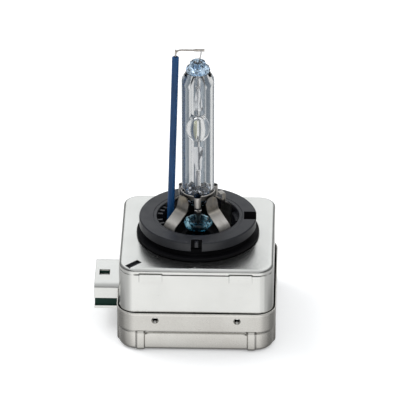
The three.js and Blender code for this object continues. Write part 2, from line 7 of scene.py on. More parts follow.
import bpy
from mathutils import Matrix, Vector

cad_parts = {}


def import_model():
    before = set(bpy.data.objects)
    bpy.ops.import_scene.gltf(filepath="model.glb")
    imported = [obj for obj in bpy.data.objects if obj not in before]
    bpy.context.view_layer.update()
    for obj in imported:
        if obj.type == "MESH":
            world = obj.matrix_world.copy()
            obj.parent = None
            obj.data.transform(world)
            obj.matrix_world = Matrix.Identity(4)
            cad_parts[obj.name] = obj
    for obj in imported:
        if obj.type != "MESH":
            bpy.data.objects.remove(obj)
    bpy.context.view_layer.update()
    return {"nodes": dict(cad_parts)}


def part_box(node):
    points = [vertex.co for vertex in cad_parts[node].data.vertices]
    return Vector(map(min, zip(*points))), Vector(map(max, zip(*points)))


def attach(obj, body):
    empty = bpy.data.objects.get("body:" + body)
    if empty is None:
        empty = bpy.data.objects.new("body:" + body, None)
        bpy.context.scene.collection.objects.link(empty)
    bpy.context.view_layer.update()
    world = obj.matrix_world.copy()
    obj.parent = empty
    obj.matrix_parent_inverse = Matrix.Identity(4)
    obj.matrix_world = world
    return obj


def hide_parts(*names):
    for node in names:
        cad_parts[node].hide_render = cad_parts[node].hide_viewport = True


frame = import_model()

MM = 0.001
TAU = 2 * math.pi


def box_mm(node):
    """A CAD node's lowest and highest corners, in millimetres."""
    return [[c / MM for c in corner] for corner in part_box(node)]


# ---- Sizes taken from the frame ----
RING_LOW, RING_HIGH = box_mm("locating_ring")
SHELL_LOW, SHELL_HIGH = box_mm("upper_shell")
SCREEN_LOW, SCREEN_HIGH = box_mm("connector_screen_upper")
TRAY_LOW, TRAY_HIGH = box_mm("connector_screen_lower")
SOCKET_LOW, SOCKET_HIGH = box_mm("connector_socket")
BAND_LOW, BAND_HIGH = box_mm("clamp_band")
BEAD_LOW, BEAD_HIGH = box_mm("stem_bead")
PIPE_LOW, PIPE_HIGH = box_mm("return_insulator")
BODY_LOW, BODY_HIGH = box_mm("base_body")

REF_Z = RING_HIGH[2]
RING_R = RING_HIGH[0]
TUBE_R = box_mm("outer_envelope")[1][0]
FLANGE_R = BODY_HIGH[0]
SHELL_HALF = SHELL_HIGH[0]
SHELL_TOP = SHELL_HIGH[2]
CAN_RIM = box_mm("lower_can")[1][2]
WIRE_TOP = box_mm("return_wire")[1][2]
LIGHT_CENTRE = REF_Z + 27.1
OPENING_R = 11.2


# ---- Mesh helpers ----
def add_object(name, solid):
    """A new object in the scene, made of the vertices and faces of solid."""
    verts, faces = solid
    mesh = bpy.data.meshes.new(name)
    mesh.from_pydata([(x * MM, y * MM, z * MM) for x, y, z in verts], [], faces)
    obj = bpy.data.objects.new(name, mesh)
    bpy.context.scene.collection.objects.link(obj)
    return obj


def piece(name, solid, look, node=None, sharp=32):
    """A named mesh that rides on the lamp, wears a look and may stand for a CAD node. Its edges stay
    sharp where they turn by more than sharp degrees."""
    obj = add_object(name, solid)
    mesh = obj.data
    mesh.validate()
    mesh.polygons.foreach_set("use_smooth", [True] * len(mesh.polygons))
    mesh.set_sharp_from_angle(angle=math.radians(sharp))
    mesh.materials.append(MATERIALS[look])
    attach(obj, "root")
    if node:
        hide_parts(node)
    return obj


def skin(rings, loop=False):
    """Faces over a stack of equal rings. A looped stack closes on itself; any other gets flat ends."""
    count = len(rings[0])
    verts = [point for ring in rings for point in ring]
    faces = []
    for row in range(len(rings) if loop else len(rings) - 1):
        here = row * count
        there = ((row + 1) % len(rings)) * count
        for i in range(count):
            j = (i + 1) % count
            faces.append((here + i, here + j, there + j, there + i))
    if not loop:
        faces.append(tuple(reversed(range(count))))
        faces.append(tuple(range(len(verts) - count, len(verts))))
    return verts, faces


def turned(profile, count=96, lobes=None):
    """Rings of a profile of (radius, z) turned about Z. lobes(angle, z) scales the radius."""
    rings = []
    for r, z in profile:
        rings.append([spun(r * (lobes(angle, z) if lobes else 1), 0, z, angle)
                      for angle in spaced(0, TAU, count)])
    return rings


def lathed(profile, count=96, lobes=None):
    """A solid of a closed profile turned about Z."""
    return skin(turned(profile, count, lobes), loop=True)


def arc(cx, cz, radius, start, end, steps):
    """Points of an arc in a profile's plane, angles in degrees."""
    angles = [math.radians(degrees) for degrees in spaced(start, end, steps) + [end]]
    return [(cx + radius * math.cos(angle), cz + radius * math.sin(angle)) for angle in angles]


def spaced(a, b, steps):
    """Evenly spaced values from a towards b, leaving out b."""
    return [a + (b - a) * i / steps for i in range(steps)]


def line(a, b, steps):
    """Points from a towards b, leaving out b."""
    return list(zip(spaced(a[0], b[0], steps), spaced(a[1], b[1], steps)))


def divided(profile, steps):
    """A profile with each of its spans cut into steps."""
    return [point for a, b in zip(profile, profile[1:]) for point in line(a, b, steps)] + [profile[-1]]


def spun(x, y, z, angle):
    """A point turned about Z."""
    c, s = math.cos(angle), math.sin(angle)
    return (x * c - y * s, x * s + y * c, z)


def moved(verts, x, y, z):
    return [(vx + x, vy + y, vz + z) for vx, vy, vz in verts]


def square_ring(half, corner, z, steps, push=None):
    """A rounded-square ring, anticlockwise from +X. steps is how many points a side and a corner get.
    push(across, z, side) is how far outwards a point moves."""
    ring = []
    flat = half - corner
    for side in range(4):
        turn = side * TAU / 4
        for across in spaced(-flat, flat, steps[0]):
            out = half + (push(across, z, side) if push else 0)
            ring.append(spun(out, across, z, turn))
        for angle in spaced(0, TAU / 4, steps[1]):
            out = push(flat + corner * math.sin(angle), z, side) * math.cos(angle) if push else 0
            radius = corner + out * math.cos(angle)
            ring.append(spun(flat + radius * math.cos(angle), flat + radius * math.sin(angle), z, turn))
    return ring


def toward_circle(edge, radius, share, z):
    """A ring at height z that is share of the way from edge to a circle."""
    ring = []
    for x, y, _ in edge:
        grow = 1 + (radius / math.hypot(x, y) - 1) * share
        ring.append((x * grow, y * grow, z))
    return ring


def unit(v):
    length = math.sqrt(sum(c * c for c in v))
    return [c / length for c in v]


def cross(a, b):
    return [a[1] * b[2] - a[2] * b[1], a[2] * b[0] - a[0] * b[2], a[0] * b[1] - a[1] * b[0]]


def direction(path, i):
    """Which way a path runs at its point i."""
    ahead, behind = path[min(i + 1, len(path) - 1)], path[max(i - 1, 0)]
    return unit([a - b for a, b in zip(ahead, behind)])


def swept(path, radius, count=16, flat=None):
    """Rings of a round bar along a path. flat(t) gives its (width, height) scale at a place."""
    rings = []
    for i, here in enumerate(path):
        along = direction(path, i)
        side = unit(cross(along, (0, 1, 0)))
        lift = cross(side, along)
        wide, tall = flat(i / (len(path) - 1)) if flat else (1, 1)
        ring = []
        for angle in spaced(0, TAU, count):
            a, b = radius * tall * math.cos(angle), radius * wide * math.sin(angle)
            ring.append(tuple(h + a * s + b * l for h, s, l in zip(here, side, lift)))
        rings.append(ring)
    return rings


def smooth_path(points, per_span):
    """Catmull-Rom points through the given points."""
    ends = [points[0]] + list(points) + [points[-1]]
    out = []
    for k in range(1, len(ends) - 2):
        p0, p1, p2, p3 = ends[k - 1:k + 3]
        for i in range(per_span):
            t = i / per_span
            out.append(tuple(0.5 * (2 * b + (c - a) * t + (2 * a - 5 * b + 4 * c - d) * t * t
                                    + (3 * b - a - 3 * c + d) * t ** 3)
                             for a, b, c, d in zip(p0, p1, p2, p3)))
    return out + [tuple(points[-1])]


def block(x0, x1, y0, y1, z0, z1):
    """Vertices and faces of a box."""
    verts = [(x, y, z) for x in (x0, x1) for y in (y0, y1) for z in (z0, z1)]
    faces = [(0, 1, 3, 2), (4, 6, 7, 5), (0, 4, 5, 1), (2, 3, 7, 6), (0, 2, 6, 4), (1, 5, 7, 3)]
    return verts, faces


def cut(obj, solid):
    """Cuts a solid out of obj for good."""
    tool = add_object("cutter", solid)
    modifier = obj.modifiers.new("cut", "BOOLEAN")
    modifier.operation = "DIFFERENCE"
    modifier.solver = "EXACT"
    modifier.object = tool
    depsgraph = bpy.context.evaluated_depsgraph_get()
    baked = bpy.data.meshes.new_from_object(obj.evaluated_get(depsgraph))
    obj.modifiers.clear()
    obj.data = baked
    bpy.data.objects.remove(tool)


def soften(obj, width, angle=30):
    """Rounds obj's edges that turn by more than angle degrees."""
    modifier = obj.modifiers.new("edges", "BEVEL")
    modifier.width = width * MM
    modifier.segments = 2
    modifier.limit_method = "ANGLE"
    modifier.angle_limit = math.radians(angle)
    modifier.harden_normals = True


def step(edge0, edge1, x):
    """A smooth step from 0 to 1 between two edges."""
    t = min(max((x - edge0) / (edge1 - edge0), 0), 1)
    return t * t * (3 - 2 * t)


# ---- Materials ----
class Nodes:
    """Short ways to build a node tree."""

    def __init__(self, tree):
        self.tree = tree

    def node(self, kind, **inputs):
        """A new node. An underscore in an input's name stands for a space."""
        made = self.tree.nodes.new(kind)
        for key, value in inputs.items():
            self.feed(made.inputs[key.replace("_", " ")], value)
        return made

    def feed(self, socket, value):
        if isinstance(value, bpy.types.NodeSocket):
            self.tree.links.new(value, socket)
        else:
            socket.default_value = value

    def operate(self, kind, operation, a, b):
        made = self.tree.nodes.new(kind)
        made.operation = operation
        self.feed(made.inputs[0], a)
        self.feed(made.inputs[1], b)
        return made.outputs

    def math(self, operation, a, b=0.0):
        return self.operate("ShaderNodeMath", operation, a, b)[0]

    def times(self, a, b):
        return self.math("MULTIPLY", a, b)

    def plus(self, a, b):
        return self.math("ADD", a, b)

    def minus(self, a, b):
        return self.math("SUBTRACT", a, b)

    def vector(self, operation, a, b=(0, 0, 0)):
        return self.operate("ShaderNodeVectorMath", operation, a, b)

    def xyz(self, vector):
        """A vector's parts, by name."""
        return self.node("ShaderNodeSeparateXYZ", Vector=vector).outputs

    def span(self, value, low, high, start=0.0, end=1.0):
        """Goes straight from start to end as value goes from low to high, and stays there."""
        return self.node("ShaderNodeMapRange", Value=value, From_Min=low, From_Max=high,
                         To_Min=start, To_Max=end).outputs[0]

    def ramp(self, value, stops):
        """value turned into a grey or a colour by stops of (place, grey or colour)."""
        made = self.node("ShaderNodeValToRGB", Fac=value)
        elements = made.color_ramp.elements
        elements[0].position, elements[1].position = stops[0][0], stops[-1][0]
        for place, _ in stops[1:-1]:
            elements.new(place)
        for element, (_, shade) in zip(elements, stops):
            element.color = (*shade, 1) if isinstance(shade, tuple) else (shade, shade, shade, 1)
        return made.outputs["Color"]

    def rise(self, value, low, high):
        """A mask that is 0 up to low and 1 from high."""
        return self.ramp(value, [(low, 0.0), (high, 1.0)])

    def mix(self, factor, a, b):
        made = self.tree.nodes.new("ShaderNodeMix")
        made.data_type = "RGBA"
        self.feed(made.inputs[0], factor)
        for socket, color in ((made.inputs[6], a), (made.inputs[7], b)):
            self.feed(socket, (*color, 1) if isinstance(color, tuple) else color)
        return made.outputs[2]

    def in_view(self, vector):
        """The parts of a direction as the camera sees it."""
        turn = self.node("ShaderNodeVectorTransform", Vector=vector)
        turn.vector_type = "VECTOR"
        turn.convert_from, turn.convert_to = "WORLD", "CAMERA"
        return self.xyz(turn.outputs[0])

    def rays(self):
        """What kind of ray asks, and masks for rays through glass and for mirror rays outside it."""
        path = self.node("ShaderNodeLightPath").outputs
        through = self.math("GREATER_THAN", path["Transmission Depth"], 0.5)
        return path, through, self.times(path["Is Glossy Ray"], self.minus(1.0, through))


class Finish(Nodes):
    """A node material whose textures are laid out in millimetres of the lamp's own frame."""

    def __init__(self, name, color, metallic=0.0, roughness=0.4):
        self.material = bpy.data.materials.new(name)
        self.material.use_nodes = True
        super().__init__(self.material.node_tree)
        self.shader = self.tree.nodes["Principled BSDF"]
        self.set("Base Color", (*color, 1))
        self.set("Metallic", metallic)
        self.set("Roughness", roughness)
        self.coords = self.node("ShaderNodeTexCoord").outputs["Object"]
        self.normal = None

    def set(self, name, value):
        self.feed(self.shader.inputs[name], value)

    def noise(self, scale, detail=4, stretch=(1, 1, 1), distortion=0.0):
        """Noise of about scale features per millimetre, squeezed along the axes by stretch."""
        mapping = self.node("ShaderNodeMapping", Vector=self.coords, Scale=[s / MM for s in stretch])
        made = self.node("ShaderNodeTexNoise", Vector=mapping.outputs[0], Scale=scale, Detail=detail,
                         Distortion=distortion)
        return made.outputs["Fac"]

    def roughen(self, mask, gain, base):
        self.set("Roughness", self.plus(self.times(mask, gain), base))

    def bump(self, height, strength, depth):
        """Adds relief of depth millimetres, on top of any relief already there."""
        made = self.node("ShaderNodeBump", Strength=strength, Distance=depth * MM, Height=height)
        if self.normal is not None:
            self.feed(made.inputs["Normal"], self.normal)
        self.normal = made.outputs[0]
        self.set("Normal", self.normal)

    def edges(self, width):
        """A mask that is bright along edges, from the difference to a rounded normal."""
        rounded = self.node("ShaderNodeBevel", Radius=width * MM).outputs[0]
        true = self.node("ShaderNodeNewGeometry").outputs["Normal"]
        return self.minus(1.0, self.vector("DOT_PRODUCT", rounded, true)["Value"])

    def crevices(self, reach):
        """A mask that is bright in corners and grooves narrower than about reach millimetres."""
        made = self.node("ShaderNodeAmbientOcclusion", Distance=reach * MM)
        made.samples = 12
        return self.minus(1.0, made.outputs["AO"])

    def from_axis(self):
        """The distance from the lamp's axis, in metres."""
        flat = self.vector("MULTIPLY", self.coords, (1, 1, 0))["Vector"]
        return self.vector("LENGTH", flat)["Value"]

    def height(self):
        """The height above the can's bottom, in metres."""
        return self.xyz(self.coords)["Z"]

    def by_height(self, color, painted_light_levels):
        """Paints light and shade into a colour, by stops of (height in millimetres, brightness)."""
        top = painted_light_levels[-1][0]
        peak = max(level for _, level in painted_light_levels)
        share = self.math("DIVIDE", self.height(), top * MM)
        shade = self.ramp(share, [(height / top, level / peak) for height, level in painted_light_levels])
        dimmed = self.vector("MULTIPLY", color, shade)["Vector"]
        return self.vector("MULTIPLY", dimmed, (peak, peak, peak))["Vector"]

    def paint_edge_and_foot_shade(self, beyond, color, foot):
        """Paints shade into the glass below the height foot, and into glancing surfaces beyond that
        distance from the axis."""
        glancing = self.node("ShaderNodeLayerWeight", Blend=0.5).outputs["Facing"]
        outer = self.math("GREATER_THAN", self.from_axis(), beyond * MM)
        edge = self.rise(glancing, 0.50, 0.68)
        upper = self.mix(self.times(outer, edge), color, (0.24, 0.27, 0.31))
        low = self.math("LESS_THAN", self.height(), foot * MM)
        self.set("Base Color", self.mix(low, upper, (0.04, 0.05, 0.07)))

    def refract(self, tint):
        """Bends light as quartz does, but lets it straight through to what the quartz would shade, in
        a tint, so that clear glass casts almost no shadow."""
        self.set("IOR", 1.46)
        path = self.node("ShaderNodeLightPath").outputs
        clear = self.node("ShaderNodeBsdfTransparent", Color=(*tint, 1))
        either = self.math("MAXIMUM", path["Is Shadow Ray"], path["Is Diffuse Ray"])
        blend = self.node("ShaderNodeMixShader", Fac=either)
        self.feed(blend.inputs[1], self.shader.outputs[0])
        self.feed(blend.inputs[2], clear.outputs[0])
        self.feed(self.tree.nodes["Material Output"].inputs["Surface"], blend.outputs[0])


def scaled(color, factor, lift=0.0):
    """A colour made brighter or darker."""
    return tuple(min(1, c * factor + lift) for c in color)


def sheet_metal(name, light, dark, roughness, crevice_shade_weight=0.8, painted_light_levels=()):
    """Satin pressed sheet: fine rolling lines, faint clouding, scuffs, bright edges, painted shade in
    corners.
    Optional stops of (height in millimetres, brightness) paint light and shade in bands that run round it."""
    f = Finish(name, light, metallic=1)
    grain = f.noise(1.6, detail=6, stretch=(1, 1, 14))
    tone = f.mix(f.rise(f.noise(0.12, detail=5), 0.35, 0.7), light, dark)
    scuffs = f.noise(0.9, detail=8, stretch=(0.5, 0.5, 3), distortion=1.5)
    mark = f.rise(scuffs, 0.66, 0.74)
    tone = f.mix(f.times(mark, 0.35), tone, scaled(dark, 0.72))
    worn = f.rise(f.edges(0.3), 0.02, 0.25)
    tone = f.mix(f.times(worn, 0.3), tone, scaled(light, 1.18))
    # Painted shade: darker in corners, creases and grooves.
    crevice_shade = f.rise(f.crevices(0.9), 0.30, 0.62)
    tone = f.mix(f.times(crevice_shade, crevice_shade_weight), tone, (0.07, 0.07, 0.065))
    if painted_light_levels:
        tone = f.by_height(tone, painted_light_levels)
    f.set("Base Color", tone)
    f.roughen(mark, 0.04, f.plus(f.times(grain, 0.12), roughness - 0.06))
    f.bump(grain, 0.25, 0.004)
    f.bump(f.noise(0.22, detail=2), 0.35, 0.05)
    return f.material


def spring_steel(name, level=1.0, scorch_and_shade=0.0):
    """Rolled beige-grey strip with lengthwise lines. Towards the lamp's axis it browns and darkens: partly
    heat tint, partly painted shade where the legs run under the band.
    """
    f = Finish(name, (0.62, 0.59, 0.54), metallic=1, roughness=0.34)
    clouds = f.noise(0.5, detail=6)
    shades = [(0.3, (0.40, 0.38, 0.35)), (0.55, (0.52, 0.50, 0.47)), (0.8, (0.47, 0.43, 0.41))]
    tint = f.ramp(clouds, [(place, scaled(shade, level)) for place, shade in shades])
    if scorch_and_shade:
        # Heat tint and painted shade: browner and darker near the axis, under the band.
        near = f.span(f.from_axis(), 5.4 * MM, 8.4 * MM, 1.0, 0.0)
        blotches = f.ramp(clouds, [(0.2, 0.5), (0.7, 1.0)])
        scorch_and_shade_mix = f.times(f.times(near, blotches), scorch_and_shade)
        scorch_and_shade_tone = f.ramp(f.noise(0.35, detail=3), [(0.42, (0.07, 0.055, 0.04)), (0.60, (0.34, 0.28, 0.18))])
        tint = f.mix(scorch_and_shade_mix, tint, scorch_and_shade_tone)
    worn = f.rise(f.edges(0.12), 0.02, 0.2)
    f.set("Base Color", f.mix(f.times(worn, 0.5), tint, (0.80, 0.78, 0.74)))
    f.roughen(f.noise(2.5, detail=5), 0.25, 0.24)
    f.bump(f.noise(4, detail=3), 0.3, 0.01)
    return f.material


def moulded(name, color, roughness, wear=0.4, gloss=0.5):
    """Moulded plastic with a fine spark-eroded texture, faint dust and paler edges."""
    f = Finish(name, color, roughness=roughness)
    f.set("Specular IOR Level", gloss)
    dust = f.rise(f.noise(0.35, detail=7), 0.45, 0.8)
    tone = f.mix(f.times(dust, 0.35), color, scaled(color, 1.8, 0.012 * wear))
    worn = f.rise(f.edges(0.2), 0.03, 0.3)
    f.set("Base Color", f.mix(f.times(worn, wear), tone, scaled(color, 2.6, 0.05)))
    f.roughen(dust, 0.18, roughness - 0.05)
    f.bump(f.noise(9, detail=3), 0.35, 0.012)
    return f.material


def clear_glass(name, color, roughness=0.0, waves=0.0, strength=0.0, stretch=(1, 1, 1), outline=0.0):
    """Quartz or tinted glass, with optional waviness from the glass lathe. Beyond outline millimetres
    from the axis, painted shade darkens its glancing surfaces, standing in for the dark edges of thick
    quartz, and its foot."""
    f = Finish(name, color, roughness=roughness)
    f.set("Transmission Weight", 1.0)
    if strength:
        f.bump(f.noise(waves, detail=2, stretch=stretch), strength, 0.2)
    if outline:
        f.paint_edge_and_foot_shade(outline, color, REF_Z + 6.2)
    f.refract(scaled(color, 0.5, 0.5))
    return f.material


def bead_glass(high):
    """Deep blue fused glass, with painted shade that turns it nearly black low down, and painted highlights:
    light blue streaks on its rim.
    """
    f = Finish("bead_glass", (0.02, 0.15, 0.25), roughness=0.03)
    place = f.xyz(f.coords)
    # Painted highlights: light blue streaks where the rim faces left and right.
    rim = f.span(place["Z"], (high - 1.7) * MM, (high - 0.7) * MM)
    wings = f.span(f.math("ABSOLUTE", place["X"]), 0.8 * MM, 2.4 * MM)
    streaks = f.rise(f.noise(0.8, detail=3, stretch=(1, 1, 2.4), distortion=0.9), 0.43, 0.56)
    painted_highlight = f.times(f.times(rim, wings), streaks)
    # Painted shade: nearly black below the rim.
    body = f.span(place["Z"], (high - 2.6) * MM, (high - 1.2) * MM)
    deep = f.mix(body, (0.002, 0.01, 0.015), (0.02, 0.17, 0.29))
    f.set("Base Color", f.mix(painted_highlight, deep, (0.50, 0.86, 1.0)))
    f.set("Transmission Weight", f.minus(0.96, f.times(painted_highlight, 0.8)))
    f.bump(f.noise(0.6, detail=2), 0.4, 0.2)
    f.refract((0.5, 0.6, 0.65))
    return f.material


def foot_quartz():
    """Lumpy fused quartz tinted dark blue, with painted highlights: a few lumps turn white and less clear."""
    f = Finish("foot_quartz", (0.10, 0.16, 0.26), roughness=0.02)
    # Painted highlights: white, less clear patches on a few lumps.
    painted_glint = f.rise(f.noise(0.62, detail=3, distortion=0.6), 0.57, 0.64)
    f.set("Base Color", f.mix(painted_glint, (0.09, 0.15, 0.25), (0.92, 0.95, 1.0)))
    f.set("Transmission Weight", f.minus(1.0, f.times(painted_glint, 0.75)))
    f.bump(f.noise(1.1, detail=2), 1.0, 0.2)
    f.refract((0.6, 0.65, 0.7))
    return f.material


def sealed_foil():
    """Foil pinched in quartz: silvery, with lengthwise folds whose light and dark streaks are painted into
    its colour, and a faint painted glow.
    """
    f = Finish("sealed_foil", (0.85, 0.86, 0.88), roughness=0.3)
    folds = f.noise(1.5, detail=3, stretch=(1, 1, 0.1), distortion=0.3)
    # Painted light and shade: the folds show as dark and light streaks in the colour.
    tone = f.ramp(folds, [(0.42, (0.10, 0.11, 0.13)), (0.49, (0.86, 0.87, 0.88)), (0.60, (0.98, 0.98, 0.98))])
    f.set("Base Color", tone)
    # A faint painted glow, though the foil is no lamp.
    f.set("Emission Color", tone)
    f.set("Emission Strength", 0.16)
    f.bump(folds, 0.5, 0.05)
    return f.material


def glazed_ceramic():
    """Blue ceramic with a semi-matt glaze, faint banding along it and tiny pits."""
    f = Finish("blue_ceramic", (0.010, 0.055, 0.17), roughness=0.38)
    bands = f.noise(0.5, detail=4, stretch=(1, 1, 0.15))
    f.set("Base Color", f.ramp(bands, [(0.3, (0.006, 0.045, 0.135)), (0.7, (0.010, 0.075, 0.22))]))
    f.roughen(f.noise(3, detail=4), 0.2, 0.28)
    f.set("Coat Weight", 0.12)
    f.set("Coat Roughness", 0.25)
    f.set("Specular IOR Level", 0.3)
    f.bump(f.rise(f.noise(3.2, detail=5), 0.35, 0.6), 0.2, 0.02)
    return f.material


def plain_metal(name, color, roughness, grain):
    """Drawn or stamped metal with fine grain and slight tarnish."""
    f = Finish(name, color, metallic=1, roughness=roughness)
    tarnish = f.rise(f.noise(0.8, detail=6), 0.35, 0.75)
    f.set("Base Color", f.mix(f.times(tarnish, 0.5), color, scaled(color, 0.6)))
    f.roughen(tarnish, 0.15, roughness)
    f.bump(f.noise(grain, detail=3), 0.3, 0.01)
    return f.material


def rough_solid(name, color, roughness, grain, depth):
    """A matt cast, sintered or fired material with a visible grain."""
    f = Finish(name, color, roughness=roughness)
    speckle = f.noise(grain, detail=6)
    f.set("Base Color", f.ramp(speckle, [(0.3, scaled(color, 0.7)), (0.7, color)]))
    f.bump(speckle, 0.4, depth)
    return f.material


def wound_wire():
    """Enamelled copper turns, wound round the X axis."""
    f = Finish("wound_copper", (0.55, 0.20, 0.07), metallic=1, roughness=0.28)
    mapping = f.node("ShaderNodeMapping", Vector=f.coords, Scale=(1 / MM, 0, 0))
    turns = f.node("ShaderNodeTexWave", Vector=mapping.outputs[0], Scale=1.2).outputs["Fac"]
    f.set("Base Color", f.ramp(turns, [(0.1, (0.20, 0.05, 0.015)), (0.7, (0.62, 0.25, 0.09))]))
    f.bump(turns, 0.8, 0.08)
    return f.material


CAN_STEP = 6.4  # the height where the can steps in
# Painted light and shade on the can by height: darker towards the bottom, a painted highlight above the step,
# painted shade along the step and a painted highlight along the rim.
CAN_PAINTED_LIGHT = [(0, 0.45), (0.5, 0.5), (1.3, 0.86), (2.4, 1.0), (CAN_STEP - 1.4, 1.15),
              (CAN_STEP - 0.9, 1.12), (CAN_STEP - 0.65, 0.78), (CAN_STEP - 0.1, 0.78),
              (CAN_STEP + 0.1, 1.0), (CAN_RIM - 0.85, 1.0), (CAN_RIM - 0.6, 1.3), (CAN_RIM, 1.3)]
MATERIALS = {
    "housing": sheet_metal("housing_metal", (0.83, 0.83, 0.80), (0.78, 0.78, 0.75), 0.24),
    "can": sheet_metal("can_metal", (0.70, 0.685, 0.645), (0.64, 0.62, 0.58), 0.27, crevice_shade_weight=0.45,
                       painted_light_levels=CAN_PAINTED_LIGHT),
    # Brighter than the can's metal: a painted highlight in each dimple.
    "pip": plain_metal("pip_highlight_metal", (0.92, 0.92, 0.90), 0.18, 3),
    "spring": spring_steel("spring_steel", 1.35, scorch_and_shade=0.85),
    # The band's steel, and a darker copy of it: painted shade.
    "band": spring_steel("band_steel", 1.3),
    "shaded_band": spring_steel("shaded_band_steel", 0.16),
    "black": moulded("black_plastic", (0.012, 0.013, 0.017), 0.38, gloss=0.60),
    # A darker, matter copy of the black plastic: painted shade on the moulding under the ring.
    "base": moulded("shaded_base_plastic", (0.004, 0.004, 0.005), 0.6, wear=0.02, gloss=0.12),
    "green": moulded("green_plastic", (0.002, 0.034, 0.022), 0.45, gloss=0.2),
    "quartz": clear_glass("quartz", (1, 1, 1), outline=4.0),
    "arc_quartz": clear_glass("arc_quartz", (1, 1, 1), waves=0.6, strength=0.25, stretch=(1, 1, 0.12)),
    "crown_quartz": clear_glass("crown_quartz", (0.64, 0.82, 1.0), roughness=0.04, waves=0.9, strength=0.9),
    "foot_quartz": foot_quartz(),
    "bead": bead_glass(BEAD_HIGH[2]),
    "sealed_foil": sealed_foil(),
    "ceramic": glazed_ceramic(),
    "wire": plain_metal("nickel_wire", (0.62, 0.57, 0.52), 0.25, 3),
    "tungsten": plain_metal("tungsten", (0.35, 0.35, 0.36), 0.3, 4),
    "foil": plain_metal("molybdenum", (0.72, 0.71, 0.70), 0.30, 1.2),
    "brass": plain_metal("brass", (0.66, 0.46, 0.20), 0.28, 3),
    "ferrite": rough_solid("ferrite", (0.035, 0.035, 0.037), 0.7, 2.5, 0.03),
    "fired": rough_solid("white_ceramic", (0.78, 0.76, 0.70), 0.55, 2.0, 0.02),
    "film": moulded("film_case", (0.24, 0.03, 0.02), 0.3),
    "silicone": rough_solid("silicone", (0.25, 0.26, 0.27), 0.6, 0.6, 0.05),
    "copper": wound_wire(),
    "salt": rough_solid("salt", (0.84, 0.84, 0.62), 0.6, 1.5, 0.04),
}
# The CAD nodes that stay, under the look that they get.
KEPT_NODES = {
    "tungsten": ["lower_electrode", "upper_electrode"],
    "salt": ["halide_salts"],
    "foil": ["lower_lead"],
    "brass": ["burner_contact", "connector_pin_1", "connector_pin_2", "connector_pin_3",
              "burner_busbar", "return_busbar", "supply_busbar"],
    "green": ["igniter_tray", "transformer_bobbin"],
    "silicone": ["potting_layer"],
    "ferrite": ["transformer_core", "choke_core"],
    "copper": ["secondary_winding", "primary_winding", "choke_winding"],
    "fired": ["spark_gap_body", "bleed_resistor"],
    "wire": ["spark_gap_cap_left", "spark_gap_cap_right"],
    "film": ["storage_capacitor"],
}


def dress_nodes():
    """The CAD nodes that stay get their finished materials."""
    for look, nodes in KEPT_NODES.items():
        for node in nodes:
            for material_slot in frame["nodes"][node].material_slots:
                material_slot.link = "OBJECT"
                material_slot.material = MATERIALS[look]


# ---- Housing ----
SHEET = 0.5
SHELL_CORNER = 4.6
TOP_FILLET = 1.0
TOP_HOLE_R = 12.95
CREASE = 1.7  # how far below the top the pressed crease runs
PADS = (-12.3, 12.1)  # raised pads under the crease, on the front and back faces
PAD_HALF = 3.3
PANEL_END = 18.1  # how far from the middle the flat panel of each side reaches
RELIEF = {"crease": 0.34, "ends": 0.20, "pads": 0.15, "bow": 0.06}  # how deep or high each is
SLOT = {"length": 4.6, "width": 1.9, "x": -17, "y": -18.1}  # slants across the front left corner


def shell_push(across, z, side):
    """Outward relief of the shell's sides: a panel outlined by a crease, and two pads on its edge."""
    below = SHELL_TOP - z
    pad = 0.0
    if side in (1, 3):
        local = across if side == 3 else -across
        pad = 1 - step(PAD_HALF - 0.35, PAD_HALF, min(abs(local - centre) for centre in PADS))
    dip = CREASE - 0.26 * pad
    crease = -RELIEF["crease"] * math.exp(-((below - dip) / 0.16) ** 4)
    ends = -RELIEF["ends"] * math.exp(-((abs(across) - PANEL_END) / 0.14) ** 4)
    ends *= step(CREASE, CREASE + 0.3, below)
    raised = RELIEF["pads"] * pad * step(dip + 0.15, dip + 0.3, below) * (1 - step(3.6, 4.8, below))
    bow = RELIEF["bow"] * (1 - (across / SHELL_HALF) ** 2) * step(CREASE, 6, below)
    return min(crease, ends) + raised - bow


def doorway(half, low, high):
    """A cutter for the connector's way through the left wall."""
    gap = 0.15
    return block(-half - 1, -half + 3, SCREEN_LOW[1] - gap, SCREEN_HIGH[1] + gap, low, high)


def upper_shell():
    """The pressed upper housing, open below, with a round hole in its top."""
    top, low = SHELL_TOP, SHELL_LOW[2]

    def ring(inset, z, push=None):
        return square_ring(SHELL_HALF + inset, SHELL_CORNER + inset, z, (190, 14), push)

    def fillet(radius, start, end, steps):
        return [ring(*point) for point in arc(-TOP_FILLET, top - TOP_FILLET, radius, start, end, steps)]

    side = spaced(low, top - 5, 14) + spaced(top - 5, top - 2.3, 14)
    side += spaced(top - 2.3, top - TOP_FILLET - 0.02, 22)
    rings = [ring(0, z, shell_push) for z in side] + fillet(TOP_FILLET, 0, 90, 9)
    edge = rings[-1]
    rings += [toward_circle(edge, TOP_HOLE_R, i / 12, top) for i in range(1, 13)]
    rings += [toward_circle(edge, TOP_HOLE_R, i / 4, top - SHEET) for i in (4, 3, 2, 1)]
    rings += fillet(TOP_FILLET - SHEET, 90, 0, 4)
    rings.append(ring(-SHEET, low))
    obj = piece("upper_housing", skin(rings, loop=True), "housing", "upper_shell")
    cut(obj, slanted_slot(0, top - 0.8, top + 1))
    cut(obj, doorway(SHELL_HALF, 0, SCREEN_HIGH[2] + 0.15))


def slanted_slot(grow, z0, z1):
    """A box the size of the corner slot, turned by 45 degrees."""
    a, b = SLOT["length"] / 2 + grow, SLOT["width"] / 2 + grow
    verts, faces = block(-a, a, -b, b, z0, z1)
    return moved([spun(*vert, TAU / 8) for vert in verts], SLOT["x"], SLOT["y"], 0), faces


